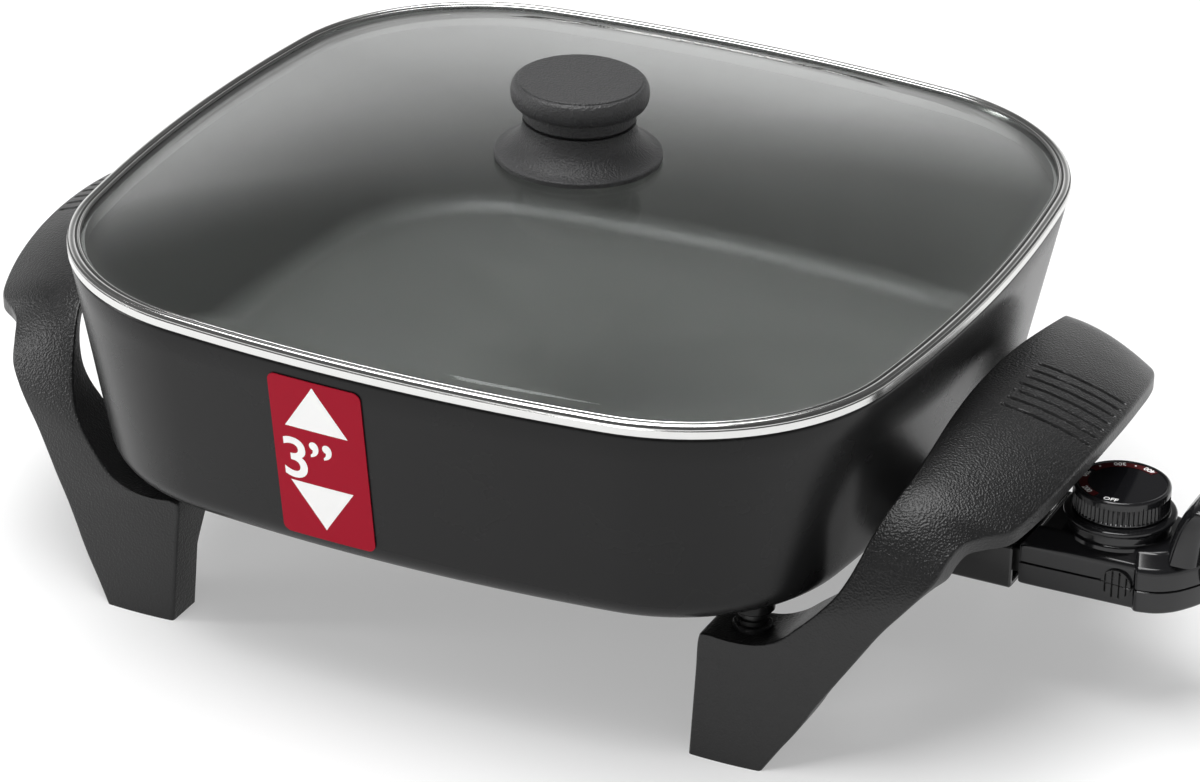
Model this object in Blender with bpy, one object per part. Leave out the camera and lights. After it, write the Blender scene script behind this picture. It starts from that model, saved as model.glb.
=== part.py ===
"""Square electric skillet: deep die-cast pan on two leg-and-grip mouldings, a
domed glass lid in a steel band, and a plug-in heat control with a probe.

Metres, +Z up, table at z = 0. +X points to the control, -Y to the front.
Lengths are measured from the middle of the pan. A last shift along X brings the
origin to the middle of the whole outline.
"""

import math

import bmesh
import bpy
from mathutils import Vector

for old in list(bpy.data.objects):
    bpy.data.objects.remove(old, do_unlink=True)

# Clearances
GAP = 0.0003
OVERRUN = 0.001

# Outline of the lid rim seen from above: a square with bowed sides
RIM_HALF = 0.160
SIDE_RADIUS = 0.669
CORNER_RADIUS = 0.0837
SIDE_STEPS = 4
CORNER_STEPS = 6

# Pan
PAN_UNDERSIDE_Z = 0.0575
PAN_FLOOR = 0.0045
PAN_DEPTH = 0.0744
PAN_WALL = 0.0032
PAN_LIP_INSET = 0.0005
PAN_LIP_ROUND = 0.0008
WALL_DRAFT = 0.20
FLOOR_ROUND_STEPS = 4
PAN_BASE_ROUND = 0.012
PAN_INNER_ROUND = 0.009
PAN_TOP_Z = PAN_UNDERSIDE_Z + PAN_FLOOR + PAN_DEPTH
PAN_FLOOR_Z = PAN_UNDERSIDE_Z + PAN_FLOOR

# Lid: steel band and domed glass
BAND_HEIGHT = 0.0053
BAND_SHEET = 0.0010
BAND_TOP_WIDTH = 0.0050
BAND_ROUND = 0.0009
SKIRT_DROP = 0.0044
SKIRT_INSET = 0.0053
GLASS_THICK = 0.0029
GLASS_EDGE_INSET = 0.0016
GLASS_RISE = 0.018
GLASS_HOLE_RADIUS = 0.0045
GLASS_BORDER_SHARE = 0.96
GLASS_DOME_POWER = 2.2
GLASS_ROUNDING_SHARE = 0.85
GLASS_RING_SHARES = (1.0, 0.96, 0.90, 0.80, 0.64, 0.42, 0.20)

# Lid knob, turned about the middle of the lid
KNOB_TOP_RADIUS = 0.0223
KNOB_DISC_RADIUS = 0.0248
KNOB_DISC_HEIGHT = 0.0090
KNOB_NECK_RADIUS = 0.0203
KNOB_NECK_HEIGHT = 0.0060
KNOB_FOOT_RADIUS = 0.0302
KNOB_FOOT_EDGE = 0.0020
KNOB_FOOT_RIM = 0.0027
KNOB_BASE_HEIGHT = 0.0138
KNOB_FOOT_ROUND = 0.0016
KNOB_BORE_RADIUS = 0.0027
KNOB_FLARE_POWER = 2.6
KNOB_FLARE_RISE_SHARES = (0.08, 0.22, 0.42, 0.68)
KNOB_DISC_REACH_SHARES = (0.70, 1.0, 1.0, 0.80)
KNOB_DISC_RISE_SHARES = (0.06, 0.30, 0.60, 0.88)
GASKET_RADIUS = 0.0140
GASKET_THICK = 0.0012
LID_SCREW_RADIUS = 0.0021
LID_SCREW_HEAD_RADIUS = 0.0045
LID_SCREW_HEAD = 0.0018
LID_SCREW_REACH = 0.0075
WASHER_RADIUS = 0.0080
WASHER_THICK = 0.0012

# Leg-and-grip moulding
GRIP_OVERHANG = 0.047
FOOT_SETBACK = 0.0588
FOOT_FRONT_SETBACK = 0.0430
GRIP_DROP = 0.0289
HANDLE_WALL = 0.0028
LEG_DEPTH = 0.0160
SHELF_DEPTH = 0.0250
GRIP_EDGE_DEPTH = 0.0052
HANDLE_EDGE_ROUND = 0.0020
LEG_CROWN = 0.0006
GRIP_CROWN = 0.0026
HANDLE_STEPS = 1
HANDLE_SKIN_SHARES = (0.25, 0.50, 0.75)
SHELF_START_SHARE = 0.50
SHELF_RAMP = 2.5

# Posts between the leg shelves and the pan
POST_FROM_FOOT_X = 0.0143
POST_FROM_FOOT_Y = 0.0190
BOSS_RADIUS = 0.0075
BOSS_DROP = 0.0055
SHELF_PAD_RADIUS = 0.0070
SHELF_PAD_THICK = 0.0024
SHELF_PAD_PROUD = 0.0016
SPACER_LENGTH = 0.0046
SPACER_RADIUS = 0.0055
SPACER_WAIST_RADIUS = 0.0044
SPACER_STEP_SHARES = (0.35, 0.42, 0.58, 0.65)
POST_SCREW_RADIUS = 0.0020
POST_SCREW_HEAD_RADIUS = 0.0036
POST_SCREW_HEAD = 0.0020
POST_SCREW_GRIP = 0.0060
SCREW_SLACK = 0.0004

# Heating element under the pan
ELEMENT_RADIUS = 0.0032
ELEMENT_LOOP_SETBACK = 0.072
ELEMENT_LOOP_ROUND = 0.030
ELEMENT_MOUTH = 0.0300
ELEMENT_DIP = 0.021
ELEMENT_STRAIGHT = 0.005
ELEMENT_IN_SHROUD = 0.012
ELEMENT_DIP_STEPS = 5
ELEMENT_MOUTH_STEPS = 4
ELEMENT_BEND_STEPS = 5

# Socket under the right-hand grip
SOCKET_DROP = 0.0103
SOCKET_PITCH = 0.0200
SHROUD_SETBACK = 0.0270
SHROUD_LENGTH = 0.0540
SHROUD_HALF_WIDTH = 0.0200
SHROUD_RISE = 0.0078
SHROUD_FALL = 0.0096
SHROUD_WALL = 0.0025
TERMINAL_RADIUS = 0.0020
TERMINAL_SETBACK = 0.0040
BEAD_RADIUS = 0.0036
BEAD_LENGTH = 0.0080
SLEEVE_RADIUS = 0.0044
SLEEVE_REACH = 0.0260
SLEEVE_PAD_SETBACK = 0.0030
SLEEVE_PAD_LENGTH = 0.0200
SLEEVE_PAD_HALF_WIDTH = 0.0045
SHROUD_SCREW_SETBACK = 0.0080
SHROUD_SCREW_Y = 0.0142
SHROUD_SCREW_RADIUS = 0.0017
SHROUD_SCREW_HEAD_RADIUS = 0.0028
SHROUD_SCREW_HEAD = 0.0013
SHROUD_SCREW_GRIP = 0.0042
SHROUD_BOSS_RADIUS = 0.0045

# Heat control. Heights are from the socket's axis, setbacks from its rear end
PROBE_RADIUS = 0.0029
PROBE_TIP_SETBACK = 0.0040
PROBE_SLACK = 0.0005
CONTACT_RADIUS = 0.0031
CONTACT_SETBACK = 0.0010
CONTACT_LENGTH = 0.0180
CONTACT_SLACK = 0.0004
NOSE_REACH = 0.0207
NOSE_LENGTH = 0.0315
NOSE_HALF_WIDTH = 0.0152
NOSE_HALF_HEIGHT = 0.0048
CONTROL_STANDOFF = 0.0032
CONTROL_LENGTH = 0.0638
CONTROL_HALF_WIDTH = 0.0205
CONTROL_FALL = 0.0067
CONTROL_PARTING_RISE = 0.0021
CONTROL_SHOULDER_RISE = 0.0088
CONTROL_TOP_RISE = 0.0153
CONTROL_BEVEL = 0.0045
CONTROL_BASE_ROUND = 0.0016
CONTROL_WALL = 0.0016
CONTROL_OUTLINE_SHARES = (
    (0.0, 0.93), (0.02, 0.955), (0.30, 0.935), (0.625, 0.91), (0.655, 0.93), (0.672, 0.99),
    (0.70, 1.0), (0.79, 0.92), (0.87, 0.74), (0.93, 0.50), (0.98, 0.22),
)
PULL_SETBACK = 0.0145
PULL_LENGTH = 0.0135
PULL_HALF_WIDTH = 0.0150
PULL_HEIGHT = 0.0235
PULL_SINK = 0.0035
PULL_LEAN = 0.0085
PULL_RISE_SHARES = (0.0, 0.30, 0.60, 0.85, 0.96, 1.0)
PULL_LEAN_SHARES = (0.0, 0.12, 0.36, 0.72, 0.94, 1.0)
PULL_SIZE_SHARES = (1.0, 0.93, 0.94, 1.0, 0.97, 0.82)
PULL_CORNER_SHARE = 0.55
GLAND_RADIUS = 0.0062
GLAND_LENGTH = 0.0120
GLAND_BORE_RADIUS = 0.0034
GLAND_RISE = 0.0048
DIAL_SETBACK = 0.0350
DIAL_RADIUS = 0.0172
DIAL_RIB_DEPTH = 0.0006
DIAL_RIB_COUNT = 30
DIAL_HEIGHT = 0.0095
DIAL_PLAIN_BAND = 0.0030
DIAL_WALL = 0.0022
DIAL_FACE_RADIUS = 0.0156
DIAL_FACE_THICK = 0.0008
DIAL_FACE_SEAT = 0.0006
DIAL_HUB_RADIUS = 0.0060
DIAL_ROOF = 0.0028
PEDESTAL_RADIUS = 0.0200
PEDESTAL_EDGE = 0.0016
PEDESTAL_NECK_RADIUS = 0.0178
PEDESTAL_HEIGHT = 0.0066
SHAFT_RADIUS = 0.0030
SHAFT_SLACK = 0.0004
SWITCH_STANDOFF = 0.0050
SWITCH_CLEARANCE = 0.0048
SWITCH_HALF_WIDTH = 0.0095
SWITCH_HEIGHT = 0.0055
BLADE_THICK = 0.0008
BLADE_HALF_WIDTH = 0.0035
PAD_SETBACK = 0.0282
PAD_RADIUS = 0.0055
PAD_THICK = 0.0009
CASE_SCREW_SETBACK = 0.0140
CASE_SCREW_Y = 0.0105
CASE_SCREW_RADIUS = 0.0013
CASE_SCREW_HEAD_RADIUS = 0.0024
CASE_SCREW_HEAD = 0.0012
CASE_POST_RADIUS = 0.0034
CASE_SEAT_HEIGHT = 0.0040
CASE_SEAT_RECESS = 0.0026
CASE_SCREW_GRIP = 0.0080

# Coloured depth label on the front wall
LABEL_MID_X = -0.0235
LABEL_WIDTH = 0.0360
LABEL_BOTTOM_Z = 0.0655
LABEL_TOP_Z = 0.1320
LABEL_THICK = 0.0004
LABEL_CORNER_ROUND = 0.0030
LABEL_COLUMN_SHARES = (-0.5, -0.47, -0.42, -0.2, 0.0, 0.2, 0.42, 0.47, 0.5)

# Number of sides of round pieces
ROUND_SIDES = 24
SMALL_SIDES = 10

SHARP_EDGE_ANGLE = math.radians(35)
RIGHT_ANGLE = math.radians(90)

# The handle is drawn between an inner and an outer edge. Each row holds, for one station
# from the front foot up to the middle of the grip: inner x, y, z and outer x, y, z as
# shares of the handle's reach, of the foot's distance to the front and of the grip's
# height, then how far the moulding has turned from leg to grip. The shelf under the pan
# lies at the shelf's share of the height.
SHELF_HEIGHT_SHARE = 0.42
HANDLE_STATION_SHARES = (
    (0.000, 1.000, 0.000, 0.257, 0.998, 0.000, 0.00),
    (0.000, 0.986, 0.150, 0.306, 0.982, 0.075, 0.00),
    (0.000, 0.973, 0.290, 0.352, 0.967, 0.140, 0.00),
    (0.000, 0.963, 0.400, 0.386, 0.956, 0.196, 0.00),
    (0.022, 0.961, 0.424, 0.404, 0.950, 0.230, 0.00),
    (0.105, 0.960, 0.418, 0.455, 0.930, 0.310, 0.00),
    (0.195, 0.956, 0.424, 0.505, 0.914, 0.385, 0.00),
    (0.270, 0.946, 0.452, 0.550, 0.898, 0.455, 0.00),
    (0.330, 0.933, 0.505, 0.602, 0.878, 0.530, 0.02),
    (0.385, 0.917, 0.560, 0.660, 0.856, 0.600, 0.06),
    (0.432, 0.893, 0.616, 0.704, 0.834, 0.655, 0.12),
    (0.464, 0.864, 0.676, 0.742, 0.802, 0.705, 0.22),
    (0.488, 0.828, 0.742, 0.764, 0.756, 0.764, 0.38),
    (0.509, 0.783, 0.812, 0.790, 0.704, 0.802, 0.60),
    (0.532, 0.726, 0.876, 0.836, 0.656, 0.812, 0.80),
    (0.552, 0.660, 0.918, 0.902, 0.604, 0.822, 0.94),
    (0.560, 0.590, 0.942, 0.936, 0.530, 0.843, 1.00),
    (0.556, 0.450, 0.968, 0.966, 0.410, 0.872, 1.00),
    (0.546, 0.290, 0.988, 0.986, 0.270, 0.896, 1.00),
    (0.539, 0.140, 0.998, 0.997, 0.135, 0.908, 1.00),
    (0.537, 0.000, 1.000, 1.000, 0.000, 0.912, 1.00),
)

# Places that follow from the sizes above
BAND_BOTTOM_Z = PAN_TOP_Z + GAP
BAND_TOP_Z = BAND_BOTTOM_Z + BAND_HEIGHT
GLASS_EDGE_TOP_Z = BAND_BOTTOM_Z + BAND_SHEET + GAP + GLASS_THICK
GRIP_OUTER_X = RIM_HALF + GRIP_OVERHANG
FOOT_INNER_X = RIM_HALF - FOOT_SETBACK
FOOT_FRONT_Y = RIM_HALF - FOOT_FRONT_SETBACK
HANDLE_REACH = GRIP_OUTER_X - FOOT_INNER_X
GRIP_TOP_Z = PAN_TOP_Z - GRIP_DROP
POST_X = FOOT_INNER_X + POST_FROM_FOOT_X
POST_Y = FOOT_FRONT_Y - POST_FROM_FOOT_Y
BOSS_BOTTOM_Z = PAN_UNDERSIDE_Z - BOSS_DROP
SHELF_PAD_TOP_Z = BOSS_BOTTOM_Z - SPACER_LENGTH - 2 * GAP
SHELF_PAD_LOW_Z = SHELF_PAD_TOP_Z - SHELF_PAD_THICK
SHELF_TOP_Z = SHELF_PAD_TOP_Z - SHELF_PAD_PROUD
SOCKET_AXIS_Z = PAN_UNDERSIDE_Z - SOCKET_DROP
SHROUD_TOP_Z = SOCKET_AXIS_Z + SHROUD_RISE
SHROUD_BOTTOM_Z = SOCKET_AXIS_Z - SHROUD_FALL
SHROUD_END_X = GRIP_OUTER_X - SHROUD_SETBACK
SHROUD_START_X = SHROUD_END_X - SHROUD_LENGTH
SHROUD_SCREW_X = SHROUD_START_X + SHROUD_SCREW_SETBACK
TERMINAL_END_X = SHROUD_END_X - TERMINAL_SETBACK
ELEMENT_LOOP_HALF = RIM_HALF - ELEMENT_LOOP_SETBACK
ELEMENT_END_X = SHROUD_START_X + ELEMENT_IN_SHROUD
ELEMENT_DIP_END_X = SHROUD_START_X - ELEMENT_STRAIGHT
ELEMENT_DIP_START_X = ELEMENT_DIP_END_X - ELEMENT_DIP
SLEEVE_START_X = SHROUD_START_X - SLEEVE_REACH
SLEEVE_PAD_START_X = SLEEVE_START_X + SLEEVE_PAD_SETBACK
SLEEVE_PAD_END_X = SLEEVE_PAD_START_X + SLEEVE_PAD_LENGTH
PROBE_TIP_X = SLEEVE_START_X + PROBE_TIP_SETBACK
CONTROL_START_X = SHROUD_END_X + CONTROL_STANDOFF
CONTROL_END_X = CONTROL_START_X + CONTROL_LENGTH
CONTROL_BOTTOM_Z = SOCKET_AXIS_Z - CONTROL_FALL
CONTROL_PARTING_Z = SOCKET_AXIS_Z + CONTROL_PARTING_RISE
CONTROL_SHOULDER_Z = SOCKET_AXIS_Z + CONTROL_SHOULDER_RISE
CONTROL_TOP_Z = SOCKET_AXIS_Z + CONTROL_TOP_RISE
CONTROL_FLOOR_Z = CONTROL_BOTTOM_Z + CONTROL_WALL
CONTROL_CEILING_Z = CONTROL_TOP_Z - CONTROL_WALL
NOSE_START_X = CONTROL_START_X - NOSE_REACH
NOSE_END_X = NOSE_START_X + NOSE_LENGTH
CONTACT_START_X = NOSE_START_X + CONTACT_SETBACK
DIAL_X = CONTROL_END_X - DIAL_SETBACK
PAD_X = CONTROL_END_X - PAD_SETBACK
PULL_MIDDLE_X = CONTROL_END_X - PULL_SETBACK + PULL_LENGTH / 2
PEDESTAL_TOP_Z = CONTROL_TOP_Z + PEDESTAL_HEIGHT
DIAL_BOTTOM_Z = PEDESTAL_TOP_Z + GAP
DIAL_TOP_Z = DIAL_BOTTOM_Z + DIAL_HEIGHT
GLAND_Z = SOCKET_AXIS_Z + GLAND_RISE
GLAND_END_X = CONTROL_END_X + GLAND_LENGTH
CASE_SCREW_X = CONTROL_END_X - CASE_SCREW_SETBACK
CASE_SEAT_RADIUS = CASE_POST_RADIUS + CONTROL_WALL / 2
SWITCH_START_X = NOSE_END_X + SWITCH_STANDOFF
SWITCH_END_X = CASE_SCREW_X - CASE_SEAT_RADIUS - SWITCH_CLEARANCE
CASE_SCREW_PLACES = ((CASE_SCREW_X, -CASE_SCREW_Y), (CASE_SCREW_X, CASE_SCREW_Y))
FRAME_SHIFT = (GRIP_OUTER_X - GLAND_END_X) / 2

rig = bpy.data.objects.new("skillet_rig", None)
rig.location = (FRAME_SHIFT, 0.0, 0.0)
bpy.context.scene.collection.objects.link(rig)


def make_material(name, colour, roughness, metallic=0.0, transmission=0.0):
    """One Principled BSDF with a plain colour."""
    material = bpy.data.materials.new(name)
    material.use_nodes = True
    shader = material.node_tree.nodes["Principled BSDF"]
    shader.inputs["Base Color"].default_value = (*colour, 1.0)
    shader.inputs["Roughness"].default_value = roughness
    shader.inputs["Metallic"].default_value = metallic
    shader.inputs["Transmission Weight"].default_value = transmission
    return material


PAN_COAT = make_material("pan_coat", (0.035, 0.036, 0.038), 0.42)
PHENOLIC = make_material("phenolic", (0.022, 0.022, 0.023), 0.50)
KNOB_PHENOLIC = make_material("knob_phenolic", (0.020, 0.020, 0.021), 0.58)
STEEL = make_material("bright_steel", (0.72, 0.72, 0.71), 0.20, 1.0)
GLASS = make_material("lid_glass", (0.90, 0.95, 0.94), 0.03, 0.0, 1.0)
GLOSS_BLACK = make_material("gloss_black", (0.012, 0.012, 0.013), 0.14)
SILICONE = make_material("silicone", (0.03, 0.03, 0.03), 0.70)
ELEMENT_SHEATH = make_material("element_sheath", (0.28, 0.27, 0.26), 0.38, 1.0)
CERAMIC = make_material("ceramic", (0.82, 0.80, 0.75), 0.55)
BRASS = make_material("brass", (0.72, 0.55, 0.25), 0.30, 1.0)
LABEL_RED = make_material("label_red", (0.42, 0.01, 0.03), 0.35)


def place(obj, material):
    """Put an object in the scene under the rig with its material and soft shading."""
    bpy.context.scene.collection.objects.link(obj)
    obj.parent = rig
    obj.data.materials.append(material)
    return obj


def finish_mesh(name, bm, material):
    """Turn a closed bmesh into a placed object with its faces pointing out."""
    bmesh.ops.recalc_face_normals(bm, faces=bm.faces)
    mesh = bpy.data.meshes.new(name)
    bm.to_mesh(mesh)
    bm.free()
    mesh.shade_smooth()
    mesh.set_sharp_from_angle(angle=SHARP_EDGE_ANGLE)
    return place(bpy.data.objects.new(name, mesh), material)


def loft(name, rings, material, wrap=False):
    """Join closed rings of points in order, and cap or wrap the two ends."""
    bm = bmesh.new()
    grid = [[bm.verts.new(point) for point in ring] for ring in rings]
    pairs = list(zip(grid, grid[1:]))
    if wrap:
        pairs.append((grid[-1], grid[0]))
    else:
        bm.faces.new(grid[0])
        bm.faces.new(grid[-1])
    for lower, upper in pairs:
        for i in range(len(lower)):
            j = (i + 1) % len(lower)
            bm.faces.new((lower[i], lower[j], upper[j], upper[i]))
    return finish_mesh(name, bm, material)


def turn_into(bm, profile, sides, centre, along_x, ribbed):
    """Add one turned profile to a bmesh."""
    rows = []
    for row, (radius, height) in enumerate(profile):
        points = []
        for side in range(sides if radius > 0.0 else 1):
            turn = math.tau * side / sides
            reach = radius - (DIAL_RIB_DEPTH if row in ribbed and side % 2 else 0.0)
            flat = (reach * math.cos(turn), reach * math.sin(turn))
            local = (height, *flat) if along_x else (*flat, height)
            points.append(bm.verts.new(Vector(centre) + Vector(local)))
        rows.append(points)
    closed = profile[0][0] > 0.0
    pairs = list(zip(rows, rows[1:])) + ([(rows[-1], rows[0])] if closed else [])
    for first, second in pairs:
        for i in range(sides):
            j = (i + 1) % sides
            corners = (first[i % len(first)], first[j % len(first)],
                       second[j % len(second)], second[i % len(second)])
            bm.faces.new(list(dict.fromkeys(corners)))


def turned(name, profile, material, sides=ROUND_SIDES, centres=((0.0, 0.0, 0.0),),
           along_x=False, ribbed=()):
    """Turn a profile of (radius, height) about one or more axes. Radius zero is a pole.

    Rows of the profile listed in ribbed have every other point drawn in by the rib depth.
    """
    bm = bmesh.new()
    for centre in centres:
        turn_into(bm, profile, sides, centre, along_x, ribbed)
    return finish_mesh(name, bm, material)


def bar(name, low, high, material):
    """A rectangular block between two corners."""
    bm = bmesh.new()
    bmesh.ops.create_cube(bm, size=1.0)
    for vert in bm.verts:
        vert.co = [low[i] + (vert.co[i] + 0.5) * (high[i] - low[i]) for i in range(3)]
    return finish_mesh(name, bm, material)


def rod(name, radius, start, end, material, y=0.0, z=SOCKET_AXIS_Z, sides=SMALL_SIDES):
    """A plain round bar along X."""
    profile = ((0.0, start), (radius, start), (radius, end), (0.0, end))
    return turned(name, profile, material, sides, ((0.0, y, z),), along_x=True)


def peg(name, radius, low, high, material, places, sides=SMALL_SIDES):
    """Plain round bars along Z at one or more (x, y) places."""
    profile = ((0.0, low), (radius, low), (radius, high), (0.0, high))
    return turned(name, profile, material, sides, [(x, y, 0.0) for x, y in places])


def apply_tool(target, tool, operation):
    """Cut a tool out of a target, or fuse it on, and keep the tool as a guide."""
    tool.hide_render = True
    tool.display_type = 'WIRE'
    modifier = target.modifiers.new(tool.name, 'BOOLEAN')
    modifier.operation = operation
    modifier.solver = 'EXACT'
    modifier.object = tool


def outline(inset, z):
    """The bowed square, drawn in by inset, as a ring of points at height z.

    The side arcs are centred beyond the far side, and the corner arcs share a
    tangent with them, so an inset only shortens every radius.
    """
    back = SIDE_RADIUS - RIM_HALF
    square = (SIDE_RADIUS - CORNER_RADIUS) ** 2
    corner = (math.sqrt(2 * square - back * back) - back) / 2
    lean = math.atan2(corner, corner + back)
    ring = []
    for quarter in range(4):
        turn = quarter * RIGHT_ANGLE
        for step in range(SIDE_STEPS):
            angle = -lean + 2 * lean * step / SIDE_STEPS
            reach = SIDE_RADIUS - inset
            ring.append((reach * math.cos(angle) - back, reach * math.sin(angle), turn))
        for step in range(CORNER_STEPS):
            angle = lean + (RIGHT_ANGLE - 2 * lean) * step / CORNER_STEPS
            reach = CORNER_RADIUS - inset
            ring.append((corner + reach * math.cos(angle), corner + reach * math.sin(angle), turn))
    return [(x * math.cos(t) - y * math.sin(t), x * math.sin(t) + y * math.cos(t), z)
            for x, y, t in ring]


def wall_inset(z):
    """Inset of the pan's outer wall at a height."""
    return PAN_LIP_INSET + (PAN_TOP_Z - z) * WALL_DRAFT


def round_to_wall(floor_z, radius, thickness):
    """Inset and height along the round between a floor and the drafted wall."""
    lean = RIGHT_ANGLE - math.atan(WALL_DRAFT)
    middle_z = floor_z + radius
    end_z = middle_z - radius * math.cos(lean)
    middle_inset = wall_inset(end_z) + thickness + radius * math.sin(lean)
    angles = [lean * step / FLOOR_ROUND_STEPS for step in range(FLOOR_ROUND_STEPS + 1)]
    return [(middle_inset - radius * math.sin(a), middle_z - radius * math.cos(a)) for a in angles]


def make_pan():
    """Cast pan with drafted walls, bosses for its posts and pads for the socket."""
    outer = round_to_wall(PAN_UNDERSIDE_Z, PAN_BASE_ROUND, 0.0)
    inner = round_to_wall(PAN_FLOOR_Z, PAN_INNER_ROUND, PAN_WALL)
    lip_low = PAN_TOP_Z - PAN_LIP_ROUND
    outer += [(wall_inset(lip_low), lip_low), (PAN_LIP_INSET + PAN_LIP_ROUND, PAN_TOP_Z)]
    lip_inner = PAN_LIP_INSET + PAN_WALL
    inner += [(wall_inset(lip_low) + PAN_WALL, lip_low), (lip_inner - PAN_LIP_ROUND, PAN_TOP_Z)]
    profile = outer + inner[::-1]
    pan = loft("pan", [outline(inset, z) for inset, z in profile], PAN_COAT)
    buried_z = PAN_UNDERSIDE_Z + PAN_FLOOR / 2
    pads_z = SHROUD_TOP_Z + GAP
    corners = [(x * POST_X, y * POST_Y) for x in (-1, 1) for y in (-1, 1)]
    pads = [(SHROUD_SCREW_X, side * SHROUD_SCREW_Y) for side in (-1, 1)]
    bosses = peg("pan_bosses", BOSS_RADIUS, BOSS_BOTTOM_Z, buried_z, PAN_COAT, corners)
    shroud_bosses = peg("shroud_bosses", SHROUD_BOSS_RADIUS, pads_z, buried_z, PAN_COAT, pads)
    sleeve_pad = bar("sleeve_pad", (SLEEVE_PAD_START_X, -SLEEVE_PAD_HALF_WIDTH,
                                    SOCKET_AXIS_Z + SLEEVE_RADIUS + GAP),
                     (SLEEVE_PAD_END_X, SLEEVE_PAD_HALF_WIDTH, buried_z), PAN_COAT)
    for tool in (bosses, shroud_bosses, sleeve_pad):
        apply_tool(pan, tool, 'UNION')
    holes = peg("boss_holes", POST_SCREW_RADIUS + GAP, BOSS_BOTTOM_Z - OVERRUN,
                BOSS_BOTTOM_Z + POST_SCREW_GRIP + GAP, PAN_COAT, corners)
    shroud_holes = peg("shroud_boss_holes", SHROUD_SCREW_RADIUS + GAP, pads_z - OVERRUN,
                       pads_z + SHROUD_SCREW_GRIP + GAP, PAN_COAT, pads)
    for tool in (holes, shroud_holes):
        apply_tool(pan, tool, 'DIFFERENCE')


def make_band():
    """Steel band folded round the edge of the glass, with a skirt inside the pan."""
    seat_z = BAND_BOTTOM_Z + BAND_SHEET
    roof_z = BAND_TOP_Z - BAND_SHEET
    skirt_z = PAN_TOP_Z - SKIRT_DROP
    profile = (
        (GAP, BAND_BOTTOM_Z), (0.0, BAND_BOTTOM_Z + BAND_ROUND), (0.0, BAND_TOP_Z - BAND_ROUND),
        (BAND_ROUND, BAND_TOP_Z), (BAND_TOP_WIDTH - BAND_ROUND, BAND_TOP_Z),
        (BAND_TOP_WIDTH, roof_z), (GLASS_EDGE_INSET - GAP, roof_z),
        (GLASS_EDGE_INSET - GAP, seat_z), (SKIRT_INSET + BAND_SHEET, seat_z),
        (SKIRT_INSET + BAND_SHEET, skirt_z), (SKIRT_INSET, skirt_z), (SKIRT_INSET, BAND_BOTTOM_Z),
    )
    loft("lid_rim", [outline(inset, z) for inset, z in profile], STEEL, wrap=True)


def dome_height(share):
    """Top of the glass at a share of the way from the middle to the edge."""
    fall = min(1.0, share / GLASS_BORDER_SHARE) ** GLASS_DOME_POWER
    return GLASS_EDGE_TOP_Z + GLASS_RISE * (1.0 - fall)


def glass_ring(share, z):
    """The bowed square shrunk by a share, becoming round near the middle."""
    half = RIM_HALF - GLASS_EDGE_INSET
    blend = min(1.0, (1.0 - share) / GLASS_ROUNDING_SHARE)
    ring = []
    for x, y, _ in outline(GLASS_EDGE_INSET, z):
        size = math.hypot(x, y)
        reach = share * (1.0 - blend + blend * half / size)
        ring.append((x * reach, y * reach, z))
    return ring


def make_glass():
    """Domed glass with a hole for the knob's screw."""
    hole_share = GLASS_HOLE_RADIUS / (RIM_HALF - GLASS_EDGE_INSET)
    shares = GLASS_RING_SHARES + (hole_share,)
    top = [glass_ring(share, dome_height(share)) for share in shares]
    under = [glass_ring(share, dome_height(share) - GLASS_THICK) for share in shares]
    loft("lid_glass", top + under[::-1], GLASS, wrap=True)


def knob_foot_z():
    """Height of the knob's lower edge, a gap above the sloping glass."""
    contact = KNOB_FOOT_RADIUS - KNOB_FOOT_RIM
    return dome_height(contact / (RIM_HALF - GLASS_EDGE_INSET)) + GAP


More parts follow.
